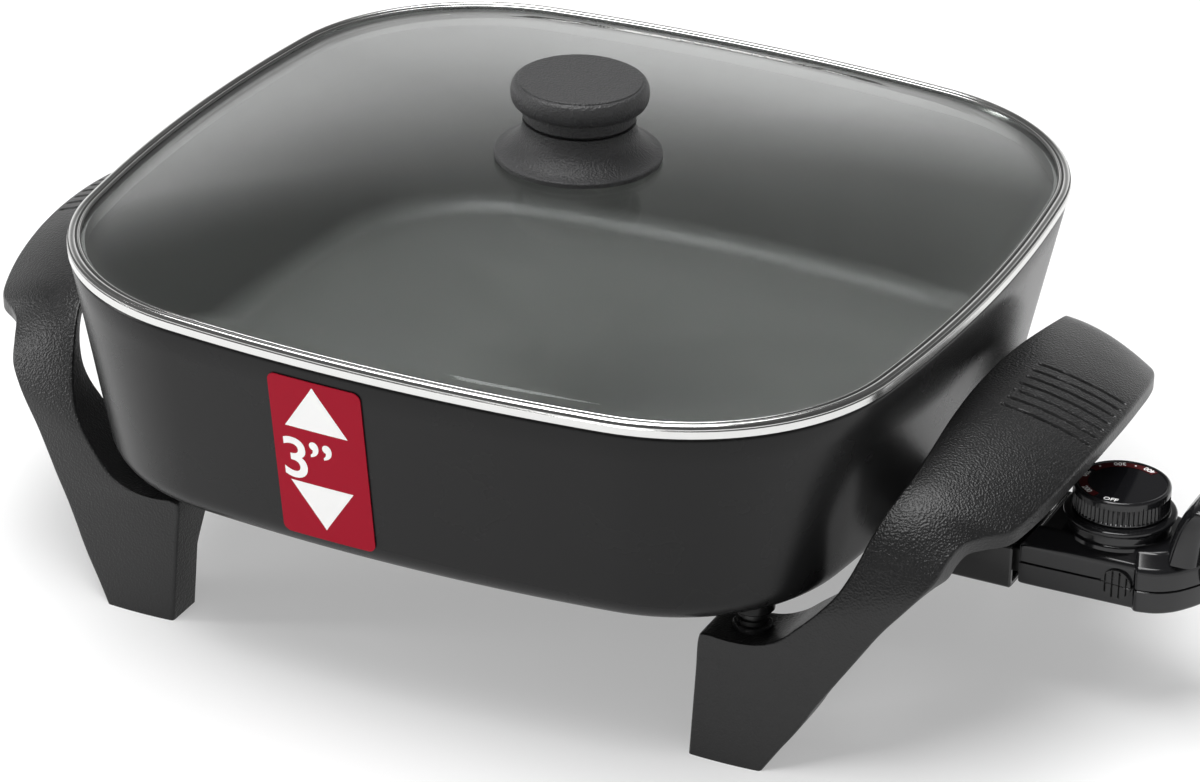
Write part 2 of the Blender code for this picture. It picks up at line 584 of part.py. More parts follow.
def make_knob():
    """Knob in two mouldings, held by one screw from under the glass."""
    crown_z = dome_height(0.0)
    foot_z = knob_foot_z()
    gasket_z = crown_z + GAP
    recess_z = gasket_z + GASKET_THICK + GAP
    parting_z = foot_z + KNOB_BASE_HEIGHT
    slope = KNOB_BASE_HEIGHT - KNOB_FOOT_EDGE
    flare = KNOB_FOOT_RADIUS - KNOB_FOOT_ROUND - KNOB_NECK_RADIUS
    concave = [(KNOB_NECK_RADIUS + flare * (1 - rise) ** KNOB_FLARE_POWER,
                foot_z + KNOB_FOOT_EDGE + slope * rise) for rise in KNOB_FLARE_RISE_SHARES]
    base = [(KNOB_BORE_RADIUS, recess_z), (KNOB_FOOT_RADIUS - KNOB_FOOT_RIM, recess_z),
            (KNOB_FOOT_RADIUS - KNOB_FOOT_RIM, foot_z), (KNOB_FOOT_RADIUS, foot_z),
            (KNOB_FOOT_RADIUS, foot_z + KNOB_FOOT_EDGE)] + concave
    base += [(KNOB_NECK_RADIUS - GAP, parting_z), (KNOB_BORE_RADIUS, parting_z)]
    turned("knob_base", base, KNOB_PHENOLIC)

    neck_z = parting_z + GAP
    disc_z = neck_z + KNOB_NECK_HEIGHT
    top_z = disc_z + KNOB_DISC_HEIGHT
    socket_z = neck_z + LID_SCREW_REACH
    bulge = KNOB_DISC_RADIUS - KNOB_NECK_RADIUS
    disc = [(KNOB_NECK_RADIUS + bulge * reach, disc_z + KNOB_DISC_HEIGHT * rise)
            for reach, rise in zip(KNOB_DISC_REACH_SHARES, KNOB_DISC_RISE_SHARES)]
    head = [(0.0, socket_z), (LID_SCREW_RADIUS + GAP, socket_z), (LID_SCREW_RADIUS + GAP, neck_z),
            (KNOB_NECK_RADIUS, neck_z), (KNOB_NECK_RADIUS, disc_z)] + disc
    head += [(KNOB_TOP_RADIUS, top_z), (0.0, top_z)]
    turned("knob_top", head, KNOB_PHENOLIC)

    gasket = ((KNOB_BORE_RADIUS, gasket_z), (GASKET_RADIUS, gasket_z),
              (GASKET_RADIUS, gasket_z + GASKET_THICK), (KNOB_BORE_RADIUS, gasket_z + GASKET_THICK))
    turned("knob_gasket", gasket, SILICONE)

    washer_z = crown_z - GLASS_THICK - GAP
    washer = ((KNOB_BORE_RADIUS, washer_z - WASHER_THICK), (WASHER_RADIUS, washer_z - WASHER_THICK),
              (WASHER_RADIUS, washer_z), (KNOB_BORE_RADIUS, washer_z))
    turned("knob_washer", washer, STEEL, SMALL_SIDES * 2)
    head_z = washer_z - WASHER_THICK - GAP
    screw = ((0.0, head_z - LID_SCREW_HEAD), (LID_SCREW_HEAD_RADIUS, head_z - LID_SCREW_HEAD / 2),
             (LID_SCREW_HEAD_RADIUS, head_z), (LID_SCREW_RADIUS, head_z),
             (LID_SCREW_RADIUS, socket_z - GAP), (0.0, socket_z - GAP))
    turned("knob_screw", screw, STEEL, SMALL_SIDES)


def between(a, b, c, d, share):
    """Catmull-Rom point between b and c."""
    return 0.5 * ((2 * b) + (c - a) * share + (2 * a - 5 * b + 4 * c - d) * share ** 2
                  + (3 * b - a - 3 * c + d) * share ** 3)


def handle_height(share):
    """Height of a station, straight from the floor to the shelf and on up to the grip."""
    if share < SHELF_HEIGHT_SHARE:
        return SHELF_TOP_Z * share / SHELF_HEIGHT_SHARE
    above = (share - SHELF_HEIGHT_SHARE) / (1 - SHELF_HEIGHT_SHARE)
    return SHELF_TOP_Z + (GRIP_TOP_Z - SHELF_TOP_Z) * above


def handle_stations():
    """Inner edge, outer edge and turn along the moulding, front foot to rear foot."""
    rows = []
    for ix, iy, iz, ox, oy, oz, turn in HANDLE_STATION_SHARES:
        inner = (FOOT_INNER_X + ix * HANDLE_REACH, -iy * FOOT_FRONT_Y, handle_height(iz))
        outer = (FOOT_INNER_X + ox * HANDLE_REACH, -oy * FOOT_FRONT_Y, handle_height(oz))
        rows.append((*inner, *outer, turn * RIGHT_ANGLE))
    rear = [(ix, -iy, iz, ox, -oy, oz, 2 * RIGHT_ANGLE - turn)
            for ix, iy, iz, ox, oy, oz, turn in rows[-2::-1]]
    rows += rear
    padded = [rows[0]] + rows + [rows[-1]]
    fine = []
    for i in range(len(rows) - 1):
        for step in range(HANDLE_STEPS):
            share = step / HANDLE_STEPS
            fine.append([between(*(padded[i + k][n] for k in range(4)), share) for n in range(7)])
    fine.append(list(rows[-1]))
    return [(Vector(row[0:3]), Vector(row[3:6]), row[6]) for row in fine]


def handle_depth(inner, turn):
    """How deep the side walls of the channel are at one station."""
    on_shelf = max(0.0, min(1.0, (inner.z / SHELF_PAD_TOP_Z - SHELF_START_SHARE) * SHELF_RAMP))
    leg = LEG_DEPTH + (SHELF_DEPTH - LEG_DEPTH) * on_shelf
    return leg + (GRIP_EDGE_DEPTH - leg) * math.sin(turn)


def edge_tangent(points, index):
    """Direction of an edge from its neighbours."""
    first = points[max(0, index - 1)]
    last = points[min(len(points) - 1, index + 1)]
    return (last - first).normalized()


def handle_section(inner, outer, turn, inner_run, outer_run):
    """Closed section of the channel at one station, as a list of points."""
    inward = Vector((0.0, math.cos(turn), -math.sin(turn)))
    from_inner = inward.cross(inner_run).normalized() * HANDLE_WALL
    from_outer = outer_run.cross(inward).normalized() * HANDLE_WALL
    across = (outer - inner)
    side = across.normalized() * HANDLE_EDGE_ROUND
    crown = LEG_CROWN + (GRIP_CROWN - LEG_CROWN) * math.sin(turn) ** 2
    depth = handle_depth(inner, turn)
    outer_depth = LEG_DEPTH + (GRIP_EDGE_DEPTH - LEG_DEPTH) * math.sin(turn)
    edge = inward * HANDLE_EDGE_ROUND
    skin = [inner + across * share - inward * crown * (1 - (2 * share - 1) ** 2)
            for share in HANDLE_SKIN_SHARES]
    roof = [point + inward * HANDLE_WALL for point in skin]
    return [inner + inward * depth, inner + edge, inner + side, *skin, outer - side, outer + edge,
            outer + inward * outer_depth, outer + from_outer + inward * outer_depth,
            outer + from_outer + inward * (HANDLE_WALL + HANDLE_EDGE_ROUND), *roof[::-1],
            inner + from_inner + inward * (HANDLE_WALL + HANDLE_EDGE_ROUND),
            inner + from_inner + inward * depth]


def make_handle(name, side):
    """One leg-and-grip moulding on the right (side 1) or left (side -1) of the pan."""
    stations = handle_stations()
    inner_edge = [station[0] for station in stations]
    outer_edge = [station[1] for station in stations]
    rings = []
    for index, (inner, outer, turn) in enumerate(stations):
        ring = handle_section(inner, outer, turn, edge_tangent(inner_edge, index),
                              edge_tangent(outer_edge, index))
        if index in (0, len(stations) - 1):
            ring = [Vector((point.x, point.y, 0.0)) for point in ring]
        rings.append([(side * point.x, point.y, point.z) for point in ring])
    handle = loft(name, rings, PHENOLIC)
    places = [(side * POST_X, -POST_Y), (side * POST_X, POST_Y)]
    pads = peg(f"{name}_pads", SHELF_PAD_RADIUS, SHELF_PAD_LOW_Z, SHELF_PAD_TOP_Z, PHENOLIC, places)
    apply_tool(handle, pads, 'UNION')
    holes = peg(f"{name}_holes", POST_SCREW_RADIUS + SCREW_SLACK, SHELF_PAD_LOW_Z - SHELF_DEPTH,
                SHELF_PAD_TOP_Z + OVERRUN, PHENOLIC, places)
    apply_tool(handle, holes, 'DIFFERENCE')
    return handle


def make_posts():
    """Spacers and long screws that hold each shelf to a boss of the pan."""
    low = SHELF_PAD_TOP_Z + GAP
    high = BOSS_BOTTOM_Z - GAP
    bore = POST_SCREW_RADIUS + SCREW_SLACK
    steps = [low + (high - low) * share for share in SPACER_STEP_SHARES]
    spacer = ((bore, low), (SPACER_RADIUS, low), (SPACER_RADIUS, steps[0]),
              (SPACER_WAIST_RADIUS, steps[1]), (SPACER_WAIST_RADIUS, steps[2]),
              (SPACER_RADIUS, steps[3]), (SPACER_RADIUS, high), (bore, high))
    head_top = SHELF_TOP_Z - HANDLE_WALL - 2 * GAP
    head_low = head_top - POST_SCREW_HEAD
    screw = ((0.0, head_low), (POST_SCREW_HEAD_RADIUS, head_low),
             (POST_SCREW_HEAD_RADIUS, head_top), (POST_SCREW_RADIUS, head_top),
             (POST_SCREW_RADIUS, BOSS_BOTTOM_Z + POST_SCREW_GRIP),
             (0.0, BOSS_BOTTOM_Z + POST_SCREW_GRIP))
    for x_side, x_name in ((-1, "left"), (1, "right")):
        for y_side, y_name in ((-1, "front"), (1, "rear")):
            centres = ((x_side * POST_X, y_side * POST_Y, 0.0),)
            turned(f"post_spacer_{x_name}_{y_name}", spacer, PHENOLIC, SMALL_SIDES, centres)
            turned(f"post_screw_{x_name}_{y_name}", screw, STEEL, SMALL_SIDES, centres)


def element_route():
    """Middle line of the heating tube: a rounded square loop that dips to the socket."""
    top = PAN_UNDERSIDE_Z - GAP - ELEMENT_RADIUS
    half, bend = ELEMENT_LOOP_HALF, ELEMENT_LOOP_ROUND
    lane = SOCKET_PITCH / 2
    corner = half - bend
    side = [(ELEMENT_END_X, lane, SOCKET_AXIS_Z)]
    dip = ELEMENT_DIP_END_X - ELEMENT_DIP_START_X
    for share in [1 - step / ELEMENT_DIP_STEPS for step in range(ELEMENT_DIP_STEPS + 1)]:
        ease = share * share * (3 - 2 * share)
        side.append((ELEMENT_DIP_START_X + dip * share, lane, top + (SOCKET_AXIS_Z - top) * ease))
    turn_in = ELEMENT_DIP_START_X - half
    mouth = ELEMENT_MOUTH - lane
    for share in [(step + 1) / ELEMENT_MOUTH_STEPS for step in range(ELEMENT_MOUTH_STEPS)]:
        ease = 1 - math.sqrt(1 - share * share)
        side.append((ELEMENT_DIP_START_X - turn_in * math.sin(share * RIGHT_ANGLE),
                     lane + mouth * ease, top))
    for quarter in range(2):
        for step in range(ELEMENT_BEND_STEPS + 1):
            angle = RIGHT_ANGLE * (quarter + step / ELEMENT_BEND_STEPS)
            x = (corner if quarter == 0 else -corner) + bend * math.cos(angle)
            side.append((x, corner + bend * math.sin(angle), top))
    return side + [(x, -y, z) for x, y, z in reversed(side)]


def make_element():
    """Sheathed heating tube clamped under the pan."""
    route = element_route()
    curve = bpy.data.curves.new("heating_element", 'CURVE')
    curve.dimensions = '3D'
    spline = curve.splines.new('POLY')
    spline.points.add(len(route) - 1)
    for point, place_at in zip(spline.points, route):
        point.co = (*place_at, 1.0)
    curve.bevel_depth = ELEMENT_RADIUS
    curve.bevel_resolution = 1
    curve.use_fill_caps = True
    place(bpy.data.objects.new("heating_element", curve), ELEMENT_SHEATH)


def make_socket():
    """Terminals, ceramic beads, probe sleeve and the shroud round them."""
    inner_y = SHROUD_HALF_WIDTH - SHROUD_WALL
    shroud = bar("socket_shroud", (SHROUD_START_X, -SHROUD_HALF_WIDTH, SHROUD_BOTTOM_Z),
                 (SHROUD_END_X, SHROUD_HALF_WIDTH, SHROUD_TOP_Z), PHENOLIC)
    hollow = bar("shroud_hollow",
                 (SHROUD_START_X + SHROUD_WALL, -inner_y, SHROUD_BOTTOM_Z + SHROUD_WALL),
                 (SHROUD_END_X + OVERRUN, inner_y, SHROUD_TOP_Z - SHROUD_WALL), PHENOLIC)
    apply_tool(shroud, hollow, 'DIFFERENCE')
    back_end = SHROUD_START_X + SHROUD_WALL + OVERRUN
    lanes = ((-1, ELEMENT_RADIUS), (0, SLEEVE_RADIUS), (1, ELEMENT_RADIUS))
    for lane, radius in lanes:
        port = rod(f"shroud_port{lane:+d}", radius + SCREW_SLACK, SHROUD_START_X - OVERRUN, back_end,
                   PHENOLIC, lane * SOCKET_PITCH / 2)
        apply_tool(shroud, port, 'DIFFERENCE')
    drill = peg("shroud_drill", SHROUD_SCREW_RADIUS + SCREW_SLACK,
                SHROUD_TOP_Z - SHROUD_WALL - OVERRUN, SHROUD_TOP_Z + OVERRUN, PHENOLIC,
                [(SHROUD_SCREW_X, side * SHROUD_SCREW_Y) for side in (-1, 1)])
    apply_tool(shroud, drill, 'DIFFERENCE')
    bead_start = ELEMENT_END_X + GAP
    for side, name in ((-1, "front"), (1, "rear")):
        y = side * SOCKET_PITCH / 2
        screw_y = side * SHROUD_SCREW_Y
        roof_z = SHROUD_TOP_Z - SHROUD_WALL - GAP
        end_z = SHROUD_TOP_Z + GAP + SHROUD_SCREW_GRIP
        head_z = roof_z - SHROUD_SCREW_HEAD
        screw = ((0.0, head_z), (SHROUD_SCREW_HEAD_RADIUS, head_z),
                 (SHROUD_SCREW_HEAD_RADIUS, roof_z), (SHROUD_SCREW_RADIUS, roof_z),
                 (SHROUD_SCREW_RADIUS, end_z), (0.0, end_z))
        turned(f"shroud_screw_{name}", screw, STEEL, SMALL_SIDES,
               ((SHROUD_SCREW_X, screw_y, 0.0),))
        rod(f"terminal_pin_{name}", TERMINAL_RADIUS, bead_start, TERMINAL_END_X, BRASS, y)
        bead = ((TERMINAL_RADIUS + GAP, bead_start), (BEAD_RADIUS, bead_start),
                (BEAD_RADIUS, bead_start + BEAD_LENGTH),
                (TERMINAL_RADIUS + GAP, bead_start + BEAD_LENGTH))
        turned(f"terminal_bead_{name}", bead, CERAMIC, SMALL_SIDES,
               ((0.0, y, SOCKET_AXIS_Z),), True)
    bore = PROBE_RADIUS + PROBE_SLACK
    sleeve = ((bore, SLEEVE_START_X), (SLEEVE_RADIUS, SLEEVE_START_X),
              (SLEEVE_RADIUS, ELEMENT_END_X), (bore, ELEMENT_END_X))
    turned("probe_sleeve", sleeve, STEEL, SMALL_SIDES, ((0.0, 0.0, SOCKET_AXIS_Z),), along_x=True)


def control_outline(inset, z):
    """Plan of the control's case at one height, drawn in by inset on every side."""
    shrink = 1.0 - inset / CONTROL_HALF_WIDTH
    length = CONTROL_LENGTH - 2 * inset
    near = [(CONTROL_START_X + inset + x * length, -w * CONTROL_HALF_WIDTH * shrink, z)
            for x, w in CONTROL_OUTLINE_SHARES]
    return near + [(CONTROL_END_X - inset, 0.0, z)] + [(x, -y, z) for x, y, z in reversed(near)]


def control_case(name, profile):
    """A half shell of the control from a profile of (inset, height)."""
    return loft(name, [control_outline(inset, z) for inset, z in profile], GLOSS_BLACK)


def nose_window(name):
    """Cutter for the opening in the case that the nose block passes through."""
    half, rise = NOSE_HALF_WIDTH + GAP, NOSE_HALF_HEIGHT + GAP
    low = (CONTROL_START_X - OVERRUN, -half, SOCKET_AXIS_Z - rise)
    high = (CONTROL_START_X + 2 * CONTROL_WALL + OVERRUN, half, SOCKET_AXIS_Z + rise)
    return bar(name, low, high, GLOSS_BLACK)


def gland_port(name):
    """Cutter for the cord gland's hole in the rear of the case."""
    start = CONTROL_END_X - GLAND_RADIUS
    return rod(name, GLAND_RADIUS + GAP, start, CONTROL_END_X + OVERRUN, GLOSS_BLACK, 0.0, GLAND_Z,
               SMALL_SIDES * 2)


def make_pull():
    """Rear hump of the upper case that fingers pull the plug out by."""
    rings = []
    for rise, lean, size in zip(PULL_RISE_SHARES, PULL_LEAN_SHARES, PULL_SIZE_SHARES):
        z = CONTROL_TOP_Z - PULL_SINK + rise * PULL_HEIGHT
        middle = PULL_MIDDLE_X + lean * PULL_LEAN
        ring = []
        for step in range(SMALL_SIDES * 2):
            angle = math.tau * step / (SMALL_SIDES * 2)
            cos, sin = math.cos(angle), math.sin(angle)
            x = math.copysign(abs(cos) ** PULL_CORNER_SHARE, cos) * PULL_LENGTH / 2
            y = math.copysign(abs(sin) ** PULL_CORNER_SHARE, sin) * PULL_HALF_WIDTH
            ring.append((middle + x * size, y * size, z))
        rings.append(ring)
    return loft("pull_hump", rings, GLOSS_BLACK)


def make_upper_case():
    """Upper half of the case with the dial's pedestal and the pull hump."""
    parting = CONTROL_PARTING_Z + GAP / 2
    shell = control_case("control_upper_case", (
        (0.0, parting), (0.0, CONTROL_SHOULDER_Z), (CONTROL_BEVEL, CONTROL_TOP_Z)))
    hollow = control_case("upper_case_hollow", (
        (CONTROL_WALL, parting - OVERRUN), (CONTROL_WALL, CONTROL_SHOULDER_Z - CONTROL_WALL / 2),
        (CONTROL_BEVEL + CONTROL_WALL, CONTROL_CEILING_Z)))
    apply_tool(shell, hollow, 'DIFFERENCE')
    apply_tool(shell, nose_window("upper_nose_window"), 'DIFFERENCE')
    apply_tool(shell, gland_port("upper_gland_port"), 'DIFFERENCE')
    apply_tool(shell, make_pull(), 'UNION')
    foot_z = CONTROL_TOP_Z - CONTROL_WALL / 2
    edge_z = PEDESTAL_TOP_Z - PEDESTAL_EDGE
    pedestal = ((0.0, foot_z), (PEDESTAL_NECK_RADIUS, foot_z),
                (PEDESTAL_NECK_RADIUS, edge_z - PEDESTAL_EDGE),
                (PEDESTAL_RADIUS, edge_z), (PEDESTAL_RADIUS, PEDESTAL_TOP_Z - PEDESTAL_EDGE / 2),
                (PEDESTAL_RADIUS - PEDESTAL_EDGE, PEDESTAL_TOP_Z), (0.0, PEDESTAL_TOP_Z))
    block = turned("dial_pedestal", pedestal, GLOSS_BLACK, ROUND_SIDES, ((DIAL_X, 0.0, 0.0),))
    apply_tool(shell, block, 'UNION')
    bore = peg("shaft_bore", SHAFT_RADIUS + SHAFT_SLACK, CONTROL_CEILING_Z - OVERRUN,
               PEDESTAL_TOP_Z + OVERRUN, GLOSS_BLACK, [(DIAL_X, 0.0)])
    apply_tool(shell, bore, 'DIFFERENCE')
    seat_z = CONTROL_FLOOR_Z + CASE_SEAT_HEIGHT + GAP
    posts = peg("case_posts", CASE_POST_RADIUS, seat_z, CONTROL_CEILING_Z + CONTROL_WALL / 4,
                GLOSS_BLACK, CASE_SCREW_PLACES)
    apply_tool(shell, posts, 'UNION')
    holes = peg("case_post_holes", CASE_SCREW_RADIUS + GAP, seat_z - OVERRUN,
                seat_z + CASE_SCREW_GRIP + GAP, GLOSS_BLACK, CASE_SCREW_PLACES)
    apply_tool(shell, holes, 'DIFFERENCE')


def make_lower_case():
    """Lower half of the case, a tray with seats for two screws."""
    parting = CONTROL_PARTING_Z - GAP / 2
    tray = control_case("control_lower_case", (
        (CONTROL_BASE_ROUND, CONTROL_BOTTOM_Z), (0.0, CONTROL_BOTTOM_Z + CONTROL_BASE_ROUND),
        (0.0, parting)))
    hollow = control_case("lower_case_hollow", (
        (CONTROL_WALL + GAP, CONTROL_FLOOR_Z), (CONTROL_WALL, CONTROL_FLOOR_Z + CONTROL_WALL),
        (CONTROL_WALL, parting + OVERRUN)))
    apply_tool(tray, hollow, 'DIFFERENCE')
    apply_tool(tray, nose_window("lower_nose_window"), 'DIFFERENCE')
    apply_tool(tray, gland_port("lower_gland_port"), 'DIFFERENCE')
    seat_z = CONTROL_FLOOR_Z + CASE_SEAT_HEIGHT
    seats = peg("case_seats", CASE_SEAT_RADIUS, CONTROL_BOTTOM_Z + CONTROL_WALL / 2, seat_z,
                GLOSS_BLACK, CASE_SCREW_PLACES)
    apply_tool(tray, seats, 'UNION')
    recesses = peg("case_recesses", CASE_SCREW_HEAD_RADIUS + GAP, CONTROL_BOTTOM_Z - OVERRUN,
                   CONTROL_BOTTOM_Z + CASE_SEAT_RECESS, GLOSS_BLACK, CASE_SCREW_PLACES)
    apply_tool(tray, recesses, 'DIFFERENCE')
    through = peg("case_through", CASE_SCREW_RADIUS + GAP, CONTROL_BOTTOM_Z, seat_z + OVERRUN,
                  GLOSS_BLACK, CASE_SCREW_PLACES)
    apply_tool(tray, through, 'DIFFERENCE')


def case_half_width(x):
    """Half width of the case at one place along it."""
    share = (x - CONTROL_START_X) / CONTROL_LENGTH
    for (x0, w0), (x1, w1) in zip(CONTROL_OUTLINE_SHARES, CONTROL_OUTLINE_SHARES[1:]):
        if x0 <= share <= x1:
            return CONTROL_HALF_WIDTH * (w0 + (w1 - w0) * (share - x0) / (x1 - x0))
    return CONTROL_HALF_WIDTH


def make_case_fittings():
    """Case screws, cord gland and the two fluted finger pads on the sides."""
    head_top = CONTROL_BOTTOM_Z + CASE_SEAT_RECESS - GAP
    end_z = CONTROL_FLOOR_Z + CASE_SEAT_HEIGHT + CASE_SCREW_GRIP
    head_z = head_top - CASE_SCREW_HEAD
    screw = ((0.0, head_z), (CASE_SCREW_HEAD_RADIUS, head_z),
             (CASE_SCREW_HEAD_RADIUS, head_top), (CASE_SCREW_RADIUS, head_top),
             (CASE_SCREW_RADIUS, end_z), (0.0, end_z))
    for side, name in ((-1, "front"), (1, "rear")):
        centres = ((CASE_SCREW_X, side * CASE_SCREW_Y, 0.0),)
        turned(f"case_screw_{name}", screw, STEEL, SMALL_SIDES, centres)
        seat_y = max(case_half_width(PAD_X - PAD_RADIUS), case_half_width(PAD_X + PAD_RADIUS)) + GAP
        angles = [math.tau * k / ROUND_SIDES for k in range(ROUND_SIDES)]
        rings = [[(PAD_X + PAD_RADIUS * math.cos(a), side * y,
                   CONTROL_PARTING_Z + PAD_RADIUS * math.sin(a)) for a in angles]
                 for y in (seat_y, seat_y + PAD_THICK)]
        loft(f"finger_pad_{name}", rings, GLOSS_BLACK)
    start = CONTROL_END_X - GLAND_RADIUS
    gland = ((GLAND_BORE_RADIUS, start), (GLAND_RADIUS, start), (GLAND_RADIUS, CONTROL_END_X + GAP),
             (GLAND_RADIUS - CONTROL_WALL, GLAND_END_X), (GLAND_BORE_RADIUS, GLAND_END_X))
    turned("cord_gland", gland, SILICONE, SMALL_SIDES * 2, ((0.0, 0.0, GLAND_Z),), along_x=True)


def make_nose():
    """Nose block with the probe and the two female contacts in it."""
    nose = bar("nose_block", (NOSE_START_X, -NOSE_HALF_WIDTH, SOCKET_AXIS_Z - NOSE_HALF_HEIGHT),
               (NOSE_END_X, NOSE_HALF_WIDTH, SOCKET_AXIS_Z + NOSE_HALF_HEIGHT), PHENOLIC)
    probe_bore = rod("probe_bore", PROBE_RADIUS + GAP, NOSE_START_X - OVERRUN,
                     NOSE_END_X + OVERRUN, PHENOLIC)
    apply_tool(nose, probe_bore, 'DIFFERENCE')
    rod("probe_rod", PROBE_RADIUS, PROBE_TIP_X, NOSE_END_X, STEEL)
    contact_end = CONTACT_START_X + CONTACT_LENGTH
    bore = TERMINAL_RADIUS + CONTACT_SLACK
    contact = ((bore, CONTACT_START_X), (CONTACT_RADIUS, CONTACT_START_X),
               (CONTACT_RADIUS, contact_end), (bore, contact_end))
    for side, name in ((-1, "front"), (1, "rear")):
        y = side * SOCKET_PITCH / 2
        hole = rod(f"contact_bore_{name}", CONTACT_RADIUS + GAP, NOSE_START_X - OVERRUN,
                   contact_end + GAP, PHENOLIC, y)
        apply_tool(nose, hole, 'DIFFERENCE')
        turned(f"socket_contact_{name}", contact, BRASS, SMALL_SIDES,
               ((0.0, y, SOCKET_AXIS_Z),), True)


def make_switch():
    """Ceramic switch base and bimetal blade inside the case."""
    low_z = CONTROL_FLOOR_Z + GAP
    top_z = low_z + SWITCH_HEIGHT
    bar("switch_base", (SWITCH_START_X, -SWITCH_HALF_WIDTH, low_z),
        (SWITCH_END_X, SWITCH_HALF_WIDTH, top_z), CERAMIC)
    bar("bimetal_blade", (SWITCH_START_X, -BLADE_HALF_WIDTH, top_z + GAP),
        (SWITCH_END_X, BLADE_HALF_WIDTH, top_z + GAP + BLADE_THICK), BRASS)
    return top_z + GAP + BLADE_THICK


def make_dial(blade_z):
    """Ribbed dial with a glossy face, turning on a steel shaft."""
    roof_z = DIAL_TOP_Z - DIAL_ROOF
    seat_z = DIAL_TOP_Z - DIAL_FACE_SEAT
    shaft_top_z = roof_z - GAP
    bore = SHAFT_RADIUS + GAP
    profile = (
        (0.0, roof_z), (bore, roof_z), (bore, DIAL_BOTTOM_Z), (DIAL_HUB_RADIUS, DIAL_BOTTOM_Z),
        (DIAL_HUB_RADIUS, roof_z), (DIAL_RADIUS - DIAL_WALL, roof_z),
        (DIAL_RADIUS - DIAL_WALL, DIAL_BOTTOM_Z), (DIAL_RADIUS, DIAL_BOTTOM_Z),
        (DIAL_RADIUS, DIAL_TOP_Z - DIAL_PLAIN_BAND),
        (DIAL_RADIUS, DIAL_TOP_Z - DIAL_PLAIN_BAND + DIAL_RIB_DEPTH),
        (DIAL_RADIUS, DIAL_TOP_Z - DIAL_RIB_DEPTH), (DIAL_RADIUS - DIAL_RIB_DEPTH, DIAL_TOP_Z),
        (DIAL_FACE_RADIUS + GAP, DIAL_TOP_Z), (DIAL_FACE_RADIUS + GAP, seat_z), (0.0, seat_z))
    dial_rows = (7, 8)
    turned("dial", profile, GLOSS_BLACK, DIAL_RIB_COUNT * 2, ((DIAL_X, 0.0, 0.0),),
           ribbed=dial_rows)
    peg("dial_face", DIAL_FACE_RADIUS, seat_z + GAP, seat_z + DIAL_FACE_THICK, GLOSS_BLACK,
        [(DIAL_X, 0.0)], ROUND_SIDES)
    peg("dial_shaft", SHAFT_RADIUS, blade_z + GAP, shaft_top_z, STEEL, [(DIAL_X, 0.0)])


def make_label():
    """Thin coloured depth label that follows the front wall."""
    bm = bmesh.new()
    columns = []
    for share in LABEL_COLUMN_SHARES:
        x = LABEL_MID_X + share * LABEL_WIDTH
        past = max(0.0, abs(share) * LABEL_WIDTH - LABEL_WIDTH / 2 + LABEL_CORNER_ROUND)
        trim = LABEL_CORNER_ROUND - math.sqrt(max(0.0, LABEL_CORNER_ROUND ** 2 - past ** 2))
        corners = []
        for proud in (GAP, GAP + LABEL_THICK):
            for z in (LABEL_BOTTOM_Z + trim, LABEL_TOP_Z - trim):
                reach = SIDE_RADIUS - wall_inset(z)
                y = SIDE_RADIUS - RIM_HALF - math.sqrt(reach * reach - x * x) - proud
                corners.append(bm.verts.new((x, y, z)))
        columns.append(corners)
    for left, right in zip(columns, columns[1:]):
        for a, b in ((0, 1), (1, 3), (3, 2), (2, 0)):
            bm.faces.new((left[a], left[b], right[b], right[a]))
    for end in (columns[0], columns[-1]):
        bm.faces.new([end[i] for i in (0, 1, 3, 2)])
    finish_mesh("depth_label", bm, LABEL_RED)


make_pan()
make_band()
make_glass()
make_knob()
make_handle("left_handle", -1)
make_handle("right_handle", 1)
make_posts()
make_element()
make_socket()
make_upper_case()
make_lower_case()
make_case_fittings()
make_nose()
make_dial(make_switch())
make_label()
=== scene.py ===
"""Square electric skillet with a domed glass lid and a plug-in heat control.

Metres, +Z up, table at z = 0, +X towards the control, -Y to the front. The sections
follow the object as it is put together. Lengths along X are measured from the middle
of the pan, which lies SHIFT from the frame's origin.
"""

import math

import bmesh
import bpy
import numpy as np
from mathutils import Matrix, Vector


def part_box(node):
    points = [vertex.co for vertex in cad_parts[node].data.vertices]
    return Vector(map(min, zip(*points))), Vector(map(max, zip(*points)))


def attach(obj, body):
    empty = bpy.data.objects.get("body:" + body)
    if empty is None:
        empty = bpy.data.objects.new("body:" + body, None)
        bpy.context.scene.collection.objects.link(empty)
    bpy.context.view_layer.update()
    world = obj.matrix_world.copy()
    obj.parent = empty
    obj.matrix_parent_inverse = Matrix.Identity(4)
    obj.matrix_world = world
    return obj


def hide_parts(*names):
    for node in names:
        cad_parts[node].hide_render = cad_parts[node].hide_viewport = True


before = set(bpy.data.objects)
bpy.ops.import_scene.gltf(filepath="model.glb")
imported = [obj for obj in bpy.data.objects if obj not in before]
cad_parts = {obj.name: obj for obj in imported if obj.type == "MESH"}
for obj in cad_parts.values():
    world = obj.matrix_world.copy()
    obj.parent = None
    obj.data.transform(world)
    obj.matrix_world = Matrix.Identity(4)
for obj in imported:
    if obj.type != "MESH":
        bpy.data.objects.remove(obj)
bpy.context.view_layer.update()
pan_low, pan_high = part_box("pan")
SHIFT = (pan_low.x + pan_high.x) / 2


